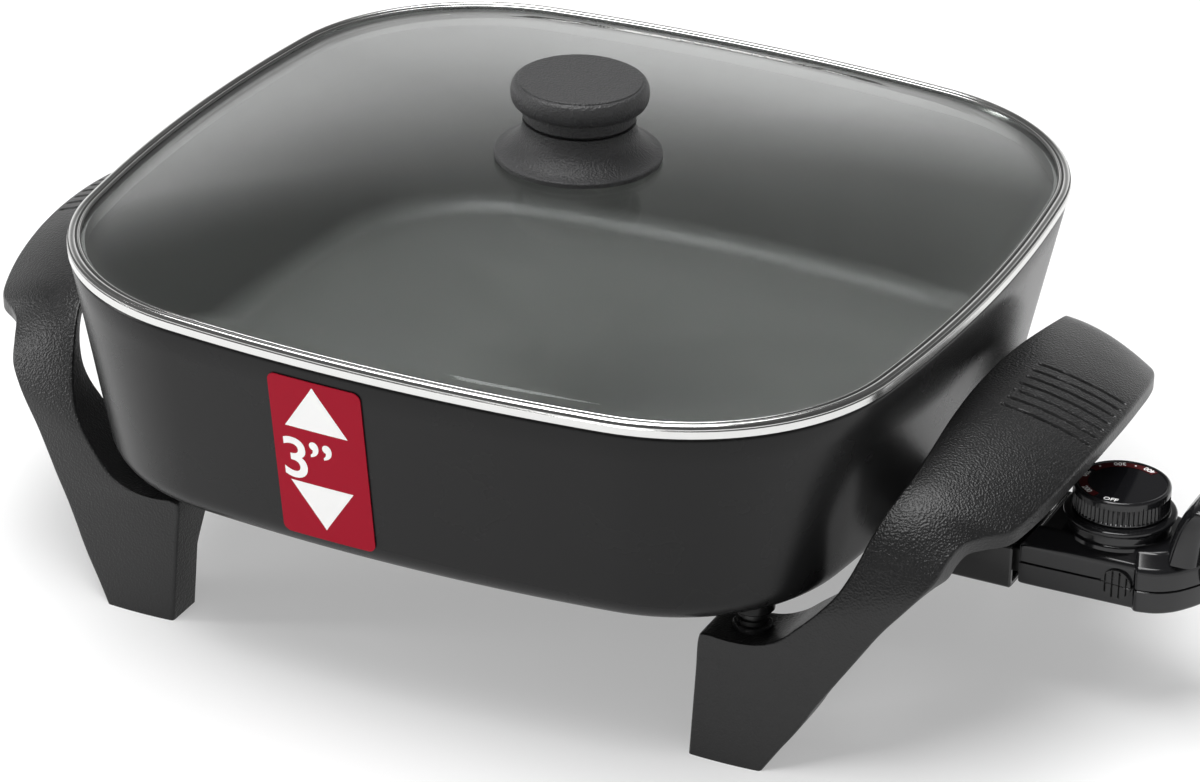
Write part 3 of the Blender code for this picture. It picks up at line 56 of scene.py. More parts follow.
# Stage: a pale floor, soft studio lamps, and the camera at the photo's angle. To the
# camera, in gloss and through glass the room looks white low down and dark above.
CAMERA_AZIMUTH = math.radians(24.322)
CAMERA_ELEVATION = math.radians(26.642)
CAMERA_ROLL = math.radians(1.658)
CAMERA_TARGET_Z = 0.1421
CAMERA_DISTANCE = 2.0236
CAMERA_RIGHT = 0.0101
CAMERA_UP = -0.0693
CAMERA_LENS = 169.85
FLOOR_SIZE = 6.0
FLOOR_COLOUR = (0.90, 0.90, 0.90, 1.0)
FLOOR_GLOW_SHARE = 0.36
WORLD_LIGHT = 0.30
ROOM_WHITE_BELOW = 0.12
ROOM_DARK_ABOVE = 0.55
ROOM_DARK = 0.10
WHITE = (1.0, 1.0, 1.0, 1.0)
LAMPS = (
    ("overhead", (-0.30, -0.30, 2.20), (0.0, 0.0, 0.10), (1.8, 1.5), 58.0),
    ("high_back", (-0.30, 0.85, 2.10), (0.0, 0.0, 0.10), (1.0, 0.7), 10.0),
    ("left_front", (-1.90, -0.80, 0.80), (0.0, 0.0, 0.10), (0.35, 1.1), 10.0),
)


def add_node(tree, kind, values=(), feeds=(), **options):
    """A new shader node with its options, pairs of input and value, and pairs of input and
    the socket that feeds it."""
    node = tree.nodes.new(kind)
    for key, value in options.items():
        setattr(node, key, value)
    for key, value in values:
        node.inputs[key].default_value = value
    for key, socket in feeds:
        tree.links.new(socket, node.inputs[key])
    return node


def seen_directly(tree):
    """Socket that is 1 for rays of the camera, of gloss and through glass."""
    path = tree.nodes.new("ShaderNodeLightPath")
    total = path.outputs["Is Camera Ray"]
    for name in ("Is Glossy Ray", "Is Transmission Ray"):
        feeds = ((0, total), (1, path.outputs[name]))
        total = add_node(tree, "ShaderNodeMath", feeds=feeds, operation='MAXIMUM').outputs[0]
    return total


def make_floor():
    """Flat square of the table, lit by the lamps and glowing in part where it is seen."""
    half = FLOOR_SIZE / 2
    corners = [(-half, -half, 0.0), (half, -half, 0.0), (half, half, 0.0), (-half, half, 0.0)]
    mesh = bpy.data.meshes.new("floor")
    mesh.from_pydata(corners, [], [(0, 1, 2, 3)])
    floor = bpy.data.objects.new("floor", mesh)
    bpy.context.scene.collection.objects.link(floor)
    material = bpy.data.materials.new("floor_white")
    material.use_nodes = True
    tree = material.node_tree
    tree.nodes.clear()
    diffuse = add_node(tree, "ShaderNodeBsdfDiffuse", (("Color", FLOOR_COLOUR),))
    glow = add_node(tree, "ShaderNodeEmission", (("Color", WHITE), ("Strength", 1.0)))
    share = add_node(tree, "ShaderNodeMath", ((1, FLOOR_GLOW_SHARE),),
                     ((0, seen_directly(tree)),), operation='MULTIPLY')
    mix = add_node(tree, "ShaderNodeMixShader", feeds=(
        (0, share.outputs[0]), (1, diffuse.outputs[0]), (2, glow.outputs[0])))
    add_node(tree, "ShaderNodeOutputMaterial", feeds=((0, mix.outputs[0]),))
    mesh.materials.append(material)


def make_world():
    """Even, weak light from a room that looks white low down and dark above, where only
    the lamps show in gloss."""
    world = bpy.data.worlds.new("studio")
    bpy.context.scene.world = world
    world.use_nodes = True
    tree = world.node_tree
    background = tree.nodes["Background"]
    background.inputs["Color"].default_value = WHITE
    direction = tree.nodes.new("ShaderNodeTexCoord").outputs["Generated"]
    height = add_node(tree, "ShaderNodeSeparateXYZ", feeds=(("Vector", direction),))
    room = add_node(tree, "ShaderNodeMapRange", (
        ("From Min", ROOM_WHITE_BELOW), ("From Max", ROOM_DARK_ABOVE),
        ("To Min", 1.0), ("To Max", ROOM_DARK)),
        (("Value", height.outputs["Z"]),), interpolation_type='SMOOTHSTEP')
    strength = add_node(tree, "ShaderNodeMapRange", (("To Min", WORLD_LIGHT),), (
        ("Value", seen_directly(tree)), ("To Max", room.outputs["Result"])))
    tree.links.new(strength.outputs["Result"], background.inputs["Strength"])


def make_lamp(name, place, target, size, power):
    """Rectangular softbox at a place, turned to face a target."""
    light = bpy.data.lights.new(name, 'AREA')
    light.shape = 'RECTANGLE'
    light.size, light.size_y = size
    light.energy = power
    lamp = bpy.data.objects.new(name, light)
    lamp.location = place
    lamp.rotation_euler = (Vector(target) - Vector(place)).to_track_quat('-Z', 'Y').to_euler()
    bpy.context.scene.collection.objects.link(lamp)


def make_camera():
    """Camera turned by azimuth, elevation and roll, and set back from the lid's middle."""
    cos_a, sin_a = math.cos(CAMERA_AZIMUTH), math.sin(CAMERA_AZIMUTH)
    cos_e, sin_e = math.cos(CAMERA_ELEVATION), math.sin(CAMERA_ELEVATION)
    cos_r, sin_r = math.cos(CAMERA_ROLL), math.sin(CAMERA_ROLL)
    back = Vector((sin_a * cos_e, -cos_a * cos_e, sin_e))
    right = Vector((cos_a, sin_a, 0.0))
    up = Vector((-sin_a * sin_e, cos_a * sin_e, cos_e))
    data = bpy.data.cameras.new("camera")
    data.lens = CAMERA_LENS
    data.clip_end = FLOOR_SIZE * 4
    camera = bpy.data.objects.new("camera", data)
    axes = Matrix((right * cos_r + up * sin_r, up * cos_r - right * sin_r, back)).transposed()
    middle = Vector((SHIFT, 0.0, CAMERA_TARGET_Z))
    camera.location = middle + back * CAMERA_DISTANCE + right * CAMERA_RIGHT + up * CAMERA_UP
    camera.rotation_euler = axes.to_euler()
    bpy.context.scene.collection.objects.link(camera)
    bpy.context.scene.camera = camera


bpy.context.scene.view_settings.view_transform = 'Standard'
make_floor()
make_world()
for lamp in LAMPS:
    make_lamp(*lamp)
make_camera()


# Pan: die-cast aluminium, deep and square with bowed sides and drafted walls.
# Outside it has a smooth satin black coat, inside a greyer non-stick coat.
RIM_HALF = 0.160
SIDE_RADIUS = 0.669
CORNER_RADIUS = 0.0837
SIDE_POINTS = 22
CORNER_POINTS = 26
PAN_UNDERSIDE_Z = 0.0575
PAN_FLOOR_Z = 0.0620
PAN_TOP_Z = 0.1364
PAN_WALL = 0.0032
PAN_LIP_INSET = 0.0005
PAN_LIP_ROUND = 0.0012
WALL_DRAFT = 0.20
PAN_BASE_ROUND = 0.012
PAN_INNER_ROUND = 0.009
PAN_WALL_ROWS = 8
FLOOR_FACING_LEAST = 0.3
ROUND_POINTS = 12
BOSS_RADIUS = 0.0075
BOSS_HOLE_RADIUS = 0.0024
BOSS_BEVEL = 0.0006
BOSS_BOTTOM_Z = 0.0520
BOSS_TOP_Z = 0.0585
POST_X = 0.1155
POST_Y = 0.0980
SHROUD_BOSS_X = 0.1340
SHROUD_BOSS_Y = 0.0142
SHROUD_BOSS_RADIUS = 0.0045
SHROUD_BOSS_HOLE_RADIUS = 0.0020
SHROUD_BOSS_BOTTOM_Z = 0.0553
LATHE_POINTS = 48
SHARP_ANGLE = math.radians(38)
MERGE_DISTANCE = 1e-6
POLE_RADIUS = 0.00002
FINISH_DETAIL = 4.0
GRAIN_DETAIL = 3.0


def bowed_square(inset, z):
    """Rings of the bowed square: each point is an arc's centre plus its radius less the
    inset, along the outward normal. Side arcs are centred past the far side, corner arcs
    near the corner, and the two share a tangent."""
    back = SIDE_RADIUS - RIM_HALF
    square = (SIDE_RADIUS - CORNER_RADIUS) ** 2
    corner = (math.sqrt(2 * square - back * back) - back) / 2
    lean = math.atan2(corner, corner + back)
    side_angles = np.linspace(-lean, lean, SIDE_POINTS, endpoint=False)
    corner_angles = np.linspace(lean, math.pi / 2 - lean, CORNER_POINTS, endpoint=False)
    angle = np.concatenate([side_angles, corner_angles])
    on_side = np.arange(len(angle)) < SIDE_POINTS
    radius = np.where(on_side, SIDE_RADIUS, CORNER_RADIUS)
    centre_x = np.where(on_side, -back, corner)
    centre_y = np.where(on_side, 0.0, corner)
    inset, z = np.broadcast_arrays(np.atleast_1d(inset)[:, None], np.atleast_1d(z)[:, None])
    x = centre_x + (radius - inset) * np.cos(angle)
    y = centre_y + (radius - inset) * np.sin(angle)
    quarters = [(x, y), (-y, x), (-x, -y), (y, -x)]
    flat_x = np.concatenate([q[0] for q in quarters], axis=1)
    flat_y = np.concatenate([q[1] for q in quarters], axis=1)
    return np.stack([flat_x, flat_y, np.broadcast_to(z, flat_x.shape)], axis=2)


def lathe(radius, height, centre=(0.0, 0.0, 0.0), along_x=False, points=LATHE_POINTS):
    """Rings of a turned shape: at each height a circle of that radius about the axis."""
    turn = np.linspace(0.0, 2 * math.pi, points, endpoint=False)
    radius, height = np.asarray(radius)[:, None], np.asarray(height)[:, None]
    across, sideways = radius * np.cos(turn), radius * np.sin(turn)
    along = np.broadcast_to(height, across.shape)
    axes = [along, across, sideways] if along_x else [across, sideways, along]
    return np.stack(axes, axis=2) + np.asarray(centre)


def arc(centre, radius, start, end, points=ROUND_POINTS):
    """Points of a circular arc between two angles in degrees, as two arrays."""
    turn = np.radians(np.linspace(start, end, points))
    return centre[0] + radius * np.cos(turn), centre[1] + radius * np.sin(turn)


def joined(*runs):
    """Runs of (first, second) coordinates laid end to end, as two arrays."""
    return [np.concatenate([np.atleast_1d(run[i]) for run in runs]) for i in range(2)]


def skin(rings, wrap=False, closed=True):
    """Vertices and faces over rows of points. Rows join into quads, the last row meets the
    first where wrap is set, and otherwise the two end rows are capped."""
    rows, columns = rings.shape[:2]
    index = np.arange(rows * columns).reshape(rows, columns)
    lower, upper = (index, np.roll(index, -1, axis=0)) if wrap else (index[:-1], index[1:])
    if closed:
        next_lower, next_upper = np.roll(lower, -1, axis=1), np.roll(upper, -1, axis=1)
    else:
        lower, next_lower = lower[:, :-1], lower[:, 1:]
        upper, next_upper = upper[:, :-1], upper[:, 1:]
    quads = np.stack([lower, next_lower, next_upper, upper], axis=-1).reshape(-1, 4)
    faces = quads.tolist()
    if closed and not wrap:
        faces += [index[0].tolist(), index[-1].tolist()]
    return rings.reshape(-1, 3), faces


def add_piece(name, skins, materials, body, replaced=(), sharp=SHARP_ANGLE, paint=None):
    """One object of several skins, its normals turned outward, riding on a body. Paint
    gives each face's material number from the middles and the normals of the faces."""
    points, faces, count = [], [], 0
    for vertices, some_faces in skins:
        points.append(vertices)
        faces += [[corner + count for corner in face] for face in some_faces]
        count += len(vertices)
    points = np.concatenate(points) + np.array([SHIFT, 0.0, 0.0])
    mesh = bpy.data.meshes.new(name)
    mesh.from_pydata(points.tolist(), [], faces)
    bm = bmesh.new()
    bm.from_mesh(mesh)
    bmesh.ops.remove_doubles(bm, verts=bm.verts, dist=MERGE_DISTANCE)
    bmesh.ops.recalc_face_normals(bm, faces=bm.faces)
    bm.to_mesh(mesh)
    bm.free()
    mesh.shade_smooth()
    mesh.set_sharp_from_angle(angle=sharp)
    for material in materials:
        mesh.materials.append(material)
    if paint:
        middles = np.empty(len(mesh.polygons) * 3)
        normals = np.empty(len(mesh.polygons) * 3)
        mesh.polygons.foreach_get("center", middles)
        mesh.polygons.foreach_get("normal", normals)
        middles = middles.reshape(-1, 3) - np.array([SHIFT, 0.0, 0.0])
        painted = paint(middles, normals.reshape(-1, 3)).astype(np.int32)
        mesh.polygons.foreach_set("material_index", painted)
    piece = bpy.data.objects.new(name, mesh)
    bpy.context.scene.collection.objects.link(piece)
    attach(piece, body)
    if replaced:
        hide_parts(*replaced)


def make_finish(name, colour, roughness, metallic=0.0, mottle=(60.0, 0.0), rough_spread=0.06,
                grains=(), stretch=(1.0, 1.0, 1.0), specular=0.5):
    """Procedural finish on Object coordinates. A soft noise shades the colour and the
    roughness, and each grain (scale, height, cells) adds pebbles or grit as bump. Stretch
    multiplies the grains' coordinates, which draws them out into brush lines."""
    material = bpy.data.materials.new(name)
    material.use_nodes = True
    tree = material.node_tree
    shader = tree.nodes["Principled BSDF"]
    shader.inputs["Metallic"].default_value = metallic
    shader.inputs["Specular IOR Level"].default_value = specular
    place = tree.nodes.new("ShaderNodeTexCoord").outputs["Object"]
    patch_scale, spread = mottle
    patches = add_node(tree, "ShaderNodeTexNoise",
                       (("Scale", patch_scale), ("Detail", FINISH_DETAIL)), (("Vector", place),))
    patch = patches.outputs["Fac"]
    dark = [channel * (1.0 - spread) for channel in colour]
    light = [min(1.0, channel * (1.0 + spread)) for channel in colour]
    shade = add_node(tree, "ShaderNodeMix", (("A", (*dark, 1.0)), ("B", (*light, 1.0))),
                     (("Factor", patch),), data_type='RGBA')
    tree.links.new(shade.outputs["Result"], shader.inputs["Base Color"])
    rough = add_node(tree, "ShaderNodeMapRange", (
        ("To Min", roughness - rough_spread), ("To Max", roughness + rough_spread)),
        (("Value", patch),))
    tree.links.new(rough.outputs["Result"], shader.inputs["Roughness"])
    drawn = add_node(tree, "ShaderNodeMapping", (("Scale", stretch),), (("Vector", place),))
    feeds = (("Vector", drawn.outputs["Vector"]),)
    normal = None
    for scale, height, cells in grains:
        if cells:
            grain = add_node(tree, "ShaderNodeTexVoronoi", (("Scale", scale),), feeds,
                             feature='SMOOTH_F1')
            level = grain.outputs["Distance"]
        else:
            grain = add_node(tree, "ShaderNodeTexNoise",
                             (("Scale", scale), ("Detail", GRAIN_DETAIL)), feeds)
            level = grain.outputs["Fac"]
        bump = add_node(tree, "ShaderNodeBump", (("Distance", height), ("Strength", 1.0)),
                        (("Height", level),))
        if normal:
            tree.links.new(normal, bump.inputs["Normal"])
        normal = bump.outputs["Normal"]
    if normal:
        tree.links.new(normal, shader.inputs["Normal"])
    return material


def wall_inset(z):
    """Inset of the pan's outer wall at a height."""
    return PAN_LIP_INSET + (PAN_TOP_Z - z) * WALL_DRAFT


def round_to_wall(floor_z, radius, thickness):
    """Inset and height along the round from a floor up to the drafted wall."""
    lean = math.pi / 2 - math.atan(WALL_DRAFT)
    middle_z = floor_z + radius
    end_z = middle_z - radius * math.cos(lean)
    middle_inset = wall_inset(end_z) + thickness + radius * math.sin(lean)
    turn = np.linspace(0.0, lean, ROUND_POINTS)
    return middle_inset - radius * np.sin(turn), middle_z - radius * np.cos(turn)


def make_pan():
    """The pan's profile from underside to lip to floor, and the bosses under it."""
    outer = round_to_wall(PAN_UNDERSIDE_Z, PAN_BASE_ROUND, 0.0)
    inner = round_to_wall(PAN_FLOOR_Z, PAN_INNER_ROUND, PAN_WALL)
    walls = np.linspace(PAN_UNDERSIDE_Z + PAN_BASE_ROUND, PAN_TOP_Z - PAN_LIP_ROUND,
                        PAN_WALL_ROWS)
    half = PAN_WALL / 2
    lip = arc((wall_inset(walls[-1]) + half, walls[-1]), half, 180.0, 0.0)
    lip = lip[0], np.minimum(lip[1], PAN_TOP_Z)
    profile = joined(outer, (wall_inset(walls), walls), lip,
                     (wall_inset(walls[::-1]) + PAN_WALL, walls[::-1]),
                     (inner[0][::-1], inner[1][::-1]))
    skins = [skin(bowed_square(*profile))]
    boss = [BOSS_HOLE_RADIUS, BOSS_RADIUS - BOSS_BEVEL, BOSS_RADIUS, BOSS_RADIUS,
            BOSS_HOLE_RADIUS]
    heights = [BOSS_BOTTOM_Z, BOSS_BOTTOM_Z, BOSS_BOTTOM_Z + BOSS_BEVEL, BOSS_TOP_Z, BOSS_TOP_Z]
    small = [SHROUD_BOSS_HOLE_RADIUS, SHROUD_BOSS_RADIUS, SHROUD_BOSS_RADIUS,
             SHROUD_BOSS_HOLE_RADIUS]
    small_heights = [SHROUD_BOSS_BOTTOM_Z, SHROUD_BOSS_BOTTOM_Z, BOSS_TOP_Z, BOSS_TOP_Z]
    for side in (-1, 1):
        for end in (-1, 1):
            skins.append(skin(lathe(boss, heights, (side * POST_X, end * POST_Y, 0.0)), wrap=True))
        centre = (SHROUD_BOSS_X, side * SHROUD_BOSS_Y, 0.0)
        skins.append(skin(lathe(small, small_heights, centre), wrap=True))
    outside = make_finish("pan_outside_coat", (0.010, 0.010, 0.0102), 0.27, mottle=(35.0, 0.10),
                          rough_spread=0.03, grains=((2600.0, 0.00001, False),), specular=0.21)
    inside = make_finish("pan_inside_coat", (0.060, 0.060, 0.058), 0.42, mottle=(45.0, 0.12),
                         rough_spread=0.05, grains=((1800.0, 0.00003, False),))

    def inner_faces(middles, normals):
        towards_middle = (normals[:, :2] * middles[:, :2]).sum(axis=1) < 0.0
        on_floor = (normals[:, 2] > FLOOR_FACING_LEAST) & (middles[:, 2] < PAN_TOP_Z - PAN_WALL)
        return towards_middle | on_floor

    add_piece("pan_body", skins, [outside, inside], "base", ("pan",),
              paint=inner_faces)


make_pan()


# Depth label: a satin red film stuck on the front wall, with printed white marks.
# The marks are two arrows and the pan's depth in inches.
LABEL_MID_X = -0.0235
LABEL_WIDTH = 0.0360
LABEL_BOTTOM_Z = 0.0655
LABEL_TOP_Z = 0.1320
LABEL_CORNER_ROUND = 0.0030
LABEL_STANDOFF = 0.0003
LABEL_THICK = 0.0004
INK_THICK = 0.00006
ARROW_X = -0.0241
ARROW_HALF_WIDTH = 0.0122
ARROW_HEIGHT = 0.0183
ARROW_MIDDLES_Z = (0.1206, 0.0793)
NUMBER_HEIGHT = 0.0165
NUMBER_BASE_Z = 0.0902
NUMBER_X = -0.0335
INCH_MARK_X = -0.0232
ARROW_TIP_SHARE = 0.01
FONT_CAPITAL_SHARE = 0.70
FONT_BOLDER_SHARE = 0.018
FONT_CURVE_STEPS = 6
MARK_COLOUR = (0.96, 0.96, 0.95)


def on_wall(x, z, proud):
    """Points on the front wall: the pan's side arc at that height, moved out by proud."""
    reach = SIDE_RADIUS - wall_inset(z)
    y = SIDE_RADIUS - RIM_HALF - np.sqrt(reach * reach - x * x) - proud
    return np.stack(np.broadcast_arrays(x, y, z), axis=-1)


def make_label():
    """Film whose top and bottom edges draw in along a circle at the four corners."""
    half = LABEL_WIDTH / 2
    bend = np.linspace(0.0, math.pi / 2, ROUND_POINTS)
    corner = half - LABEL_CORNER_ROUND + LABEL_CORNER_ROUND * np.sin(bend)
    straight = np.linspace(-corner[0], corner[0], SIDE_POINTS)[1:-1]
    x = np.concatenate([-corner[::-1], straight, corner])
    past = np.maximum(0.0, np.abs(x) - half + LABEL_CORNER_ROUND)
    trim = LABEL_CORNER_ROUND - np.sqrt(np.maximum(0.0, LABEL_CORNER_ROUND ** 2 - past ** 2))
    share = np.linspace(0.0, 1.0, SIDE_POINTS)[:, None]
    z = (LABEL_BOTTOM_Z + trim) * (1.0 - share) + (LABEL_TOP_Z - trim) * share
    front = on_wall(LABEL_MID_X + x, z, LABEL_STANDOFF + LABEL_THICK)
    back = on_wall(LABEL_MID_X + x, z, LABEL_STANDOFF)
    rings = np.stack([np.concatenate([f, b[::-1]]) for f, b in zip(front, back)])
    film = make_finish("label_film", (0.35, 0.004, 0.020), 0.40, mottle=(30.0, 0.05),
                       grains=((900.0, 0.00001, False),), specular=0.08)
    add_piece("label_film", [skin(rings)], [film], "base", ("depth_label",))


def text_outline(body, height):
    """Flat mesh of some text, its capitals as high as asked, from Blender's own font."""
    curve = bpy.data.curves.new(body, 'FONT')
    curve.body = body
    curve.align_x = 'CENTER'
    curve.resolution_u = FONT_CURVE_STEPS
    curve.size = height / FONT_CAPITAL_SHARE
    curve.offset = height * FONT_BOLDER_SHARE
    holder = bpy.data.objects.new(body, curve)
    mesh = bpy.data.meshes.new_from_object(holder)
    bpy.data.objects.remove(holder)
    return mesh


def flat_points(mesh):
    """Corner places and faces of a flat mesh, with no point twice."""
    bm = bmesh.new()
    bm.from_mesh(mesh)
    bmesh.ops.remove_doubles(bm, verts=bm.verts, dist=MERGE_DISTANCE)
    points = np.array([vertex.co[:] for vertex in bm.verts])
    faces = [[vertex.index for vertex in face.verts] for face in bm.faces]
    bm.free()
    return points, faces


def ink_skin(points, faces, place):
    """Thin closed ink: a front sheet, a back sheet and a wall along each open edge. Place
    gives the sheet's points in space at a height above the surface."""
    sides = {pair for face in faces for pair in zip(face, face[1:] + face[:1])}
    edges = sorted(pair for pair in sides if pair[::-1] not in sides)
    count = len(points)
    front, back = place(points, INK_THICK), place(points, -INK_THICK)
    walls = [[end, start, start + count, end + count] for start, end in edges]
    backs = [[corner + count for corner in reversed(face)] for face in faces]
    return np.concatenate([front, back]), [list(face) for face in faces] + backs + walls


def patch_skin(grid, place):
    """Ink over a grid of flat points."""
    faces = skin(np.pad(grid, ((0, 0), (0, 0), (0, 1))), closed=False)[1]
    return ink_skin(grid.reshape(-1, 2), faces, place)


def make_label_marks():
    """Arrows up and down and the number of inches, laid on the label's curve."""
    surface = LABEL_STANDOFF + LABEL_THICK

    def place(points, proud):
        return on_wall(points[:, 0], points[:, 1], surface + proud)

    skins = []
    for middle_z, way in zip(ARROW_MIDDLES_Z, (1, -1)):
        rows = np.linspace(0.0, 1.0, ROUND_POINTS)[:, None]
        across = np.linspace(-1.0, 1.0, ROUND_POINTS)
        x = ARROW_X + across * ARROW_HALF_WIDTH * np.maximum(1.0 - rows, ARROW_TIP_SHARE)
        z = np.broadcast_to(middle_z + way * (rows - 0.5) * ARROW_HEIGHT, x.shape)
        skins.append(patch_skin(np.stack([x, z], axis=-1), place))
    for body, middle_x in (("3", NUMBER_X), ("”", INCH_MARK_X)):
        points, faces = flat_points(text_outline(body, NUMBER_HEIGHT))
        points = points[:, :2] + np.array([middle_x, NUMBER_BASE_Z])
        skins.append(ink_skin(points, faces, place))
    ink = make_finish("label_ink", MARK_COLOUR, 0.45, mottle=(80.0, 0.03))
    add_piece("label_marks", skins, [ink], "base")


make_label()
make_label_marks()


# Handles: one phenolic moulding on each side makes both legs, the shelf under the pan
# and the grip. Moulded hollow from below, with a fine pebble and seven grip grooves.
FOOT_INNER_X = 0.1012
HANDLE_REACH = 0.1058
FOOT_FRONT_Y = 0.1170
GRIP_TOP_Z = 0.1075
SHELF_TOP_Z = 0.0452
SHELF_PAD_TOP_Z = 0.0468
SHELF_PAD_LOW_Z = 0.0444
SHELF_PAD_RADIUS = 0.0070
SHELF_HOLE_RADIUS = 0.0024
SHELF_PAD_BEVEL = 0.0004
HANDLE_WALL = 0.0028
LEG_DEPTH = 0.0160
SHELF_DEPTH = 0.0250
GRIP_EDGE_DEPTH = 0.0052
HANDLE_EDGE_ROUND = 0.0013
LEG_CROWN = 0.0006
GRIP_CROWN = 0.0026
SHELF_START_SHARE = 0.50
SHELF_RAMP = 2.5
SKIN_POINTS = 72
ROOF_KEPT_EVERY = 6
LEG_STEPS = 7
GRIP_STEPS = 66
GRIP_ROWS = 2
GROOVE_COUNT = 7
GROOVE_MIDDLE_Y = 0.0025
GROOVE_PITCH = 0.0060
GROOVE_HALF_WIDTH = 0.0009
GROOVE_DEPTH = 0.0013
GROOVE_START_SHARE = 0.26
GROOVE_END_SHARE = 0.955
GROOVE_FADE_SHARE = 0.022
GROOVE_POWER = 3
GROOVED_FROM_LIFT = 0.99
SHELF_HEIGHT_SHARE = 0.42
HANDLE_STATION_SHARES = (
    (0.000, 1.000, 0.000, 0.257, 0.998, 0.000, 0.00),
    (0.000, 0.986, 0.150, 0.306, 0.982, 0.075, 0.00),
    (0.000, 0.973, 0.290, 0.352, 0.967, 0.140, 0.00),
    (0.000, 0.963, 0.400, 0.386, 0.956, 0.196, 0.00),
    (0.022, 0.961, 0.424, 0.404, 0.950, 0.230, 0.00),
    (0.105, 0.960, 0.418, 0.455, 0.930, 0.310, 0.00),
    (0.195, 0.956, 0.424, 0.505, 0.914, 0.385, 0.00),
    (0.270, 0.946, 0.452, 0.550, 0.898, 0.455, 0.00),
    (0.330, 0.933, 0.505, 0.602, 0.878, 0.530, 0.02),
    (0.385, 0.917, 0.560, 0.660, 0.856, 0.600, 0.06),
    (0.432, 0.893, 0.616, 0.704, 0.834, 0.655, 0.12),
    (0.464, 0.864, 0.676, 0.742, 0.802, 0.705, 0.22),
    (0.488, 0.828, 0.742, 0.764, 0.756, 0.764, 0.38),
    (0.509, 0.783, 0.812, 0.790, 0.704, 0.802, 0.60),
    (0.532, 0.726, 0.876, 0.836, 0.656, 0.812, 0.80),
    (0.552, 0.660, 0.918, 0.902, 0.604, 0.822, 0.94),
    (0.560, 0.590, 0.942, 0.936, 0.530, 0.843, 1.00),
    (0.556, 0.450, 0.968, 0.966, 0.410, 0.872, 1.00),
    (0.546, 0.290, 0.988, 0.986, 0.270, 0.896, 1.00),
    (0.539, 0.140, 0.998, 0.997, 0.135, 0.908, 1.00),
    (0.537, 0.000, 1.000, 1.000, 0.000, 0.912, 1.00),
)


def smooth_rows(rows, at):
    """Smooth curve through rows of numbers. Between two rows runs the cubic whose slopes
    at both ends are half the step from the row before to the row after."""
    padded = np.vstack([rows[:1], rows, rows[-1:]])
    first = np.minimum(at.astype(int), len(rows) - 2)
    share = (at - first)[:, None]
    a, b, c, d = (padded[first + k] for k in range(4))
    cubic = share * (3 * (b - c) + d - a)
    return b + 0.5 * share * (c - a + share * (2 * a - 5 * b + 4 * c - d + cubic))


def handle_stations():
    """Inner edge, outer edge and turn along the moulding, from front foot to rear foot."""
    table = np.array(HANDLE_STATION_SHARES)
    rear = table[-2::-1] * np.array([1, -1, 1, 1, -1, 1, -1]) + np.array([0, 0, 0, 0, 0, 0, 2])
    rows = np.vstack([table, rear])
    middle = len(table) - 1
    leg_rows = middle - GRIP_ROWS
    leg = np.linspace(0.0, leg_rows, leg_rows * LEG_STEPS, endpoint=False)
    grip = np.linspace(leg_rows, middle + GRIP_ROWS, 2 * GRIP_ROWS * GRIP_STEPS + 1)
    at = np.concatenate([leg, grip, 2 * middle - leg[::-1]])
    fine = smooth_rows(rows, at)
    marks = [0.0, SHELF_HEIGHT_SHARE, 1.0]
    heights = [0.0, SHELF_TOP_Z, GRIP_TOP_Z]
    edges = []
    for column in (0, 3):
        x = FOOT_INNER_X + fine[:, column] * HANDLE_REACH
        y = -fine[:, column + 1] * FOOT_FRONT_Y
        z = np.interp(fine[:, column + 2], marks, heights)
        edges.append(np.stack([x, y, z], axis=1))
    return edges[0], edges[1], fine[:, 6] * math.pi / 2


def unit(vectors):
    """Vectors cut to length 1."""
    return vectors / np.linalg.norm(vectors, axis=-1, keepdims=True)


def groove_cut(y, share):
    """Depth of the grip's grooves: troughs 1 - |away|^n across, fading at their two ends."""
    cut = np.zeros(y.shape)
    for number in range(GROOVE_COUNT):
        middle = GROOVE_MIDDLE_Y + (number - (GROOVE_COUNT - 1) / 2) * GROOVE_PITCH
        away = (y - middle) / GROOVE_HALF_WIDTH
        cut = np.maximum(cut, 1.0 - np.clip(np.abs(away), 0.0, 1.0) ** GROOVE_POWER)
    start = np.clip((share - GROOVE_START_SHARE) / GROOVE_FADE_SHARE, 0.0, 1.0)
    end = np.clip((GROOVE_END_SHARE - share) / GROOVE_FADE_SHARE, 0.0, 1.0)
    return GROOVE_DEPTH * cut * np.sqrt(start * end)


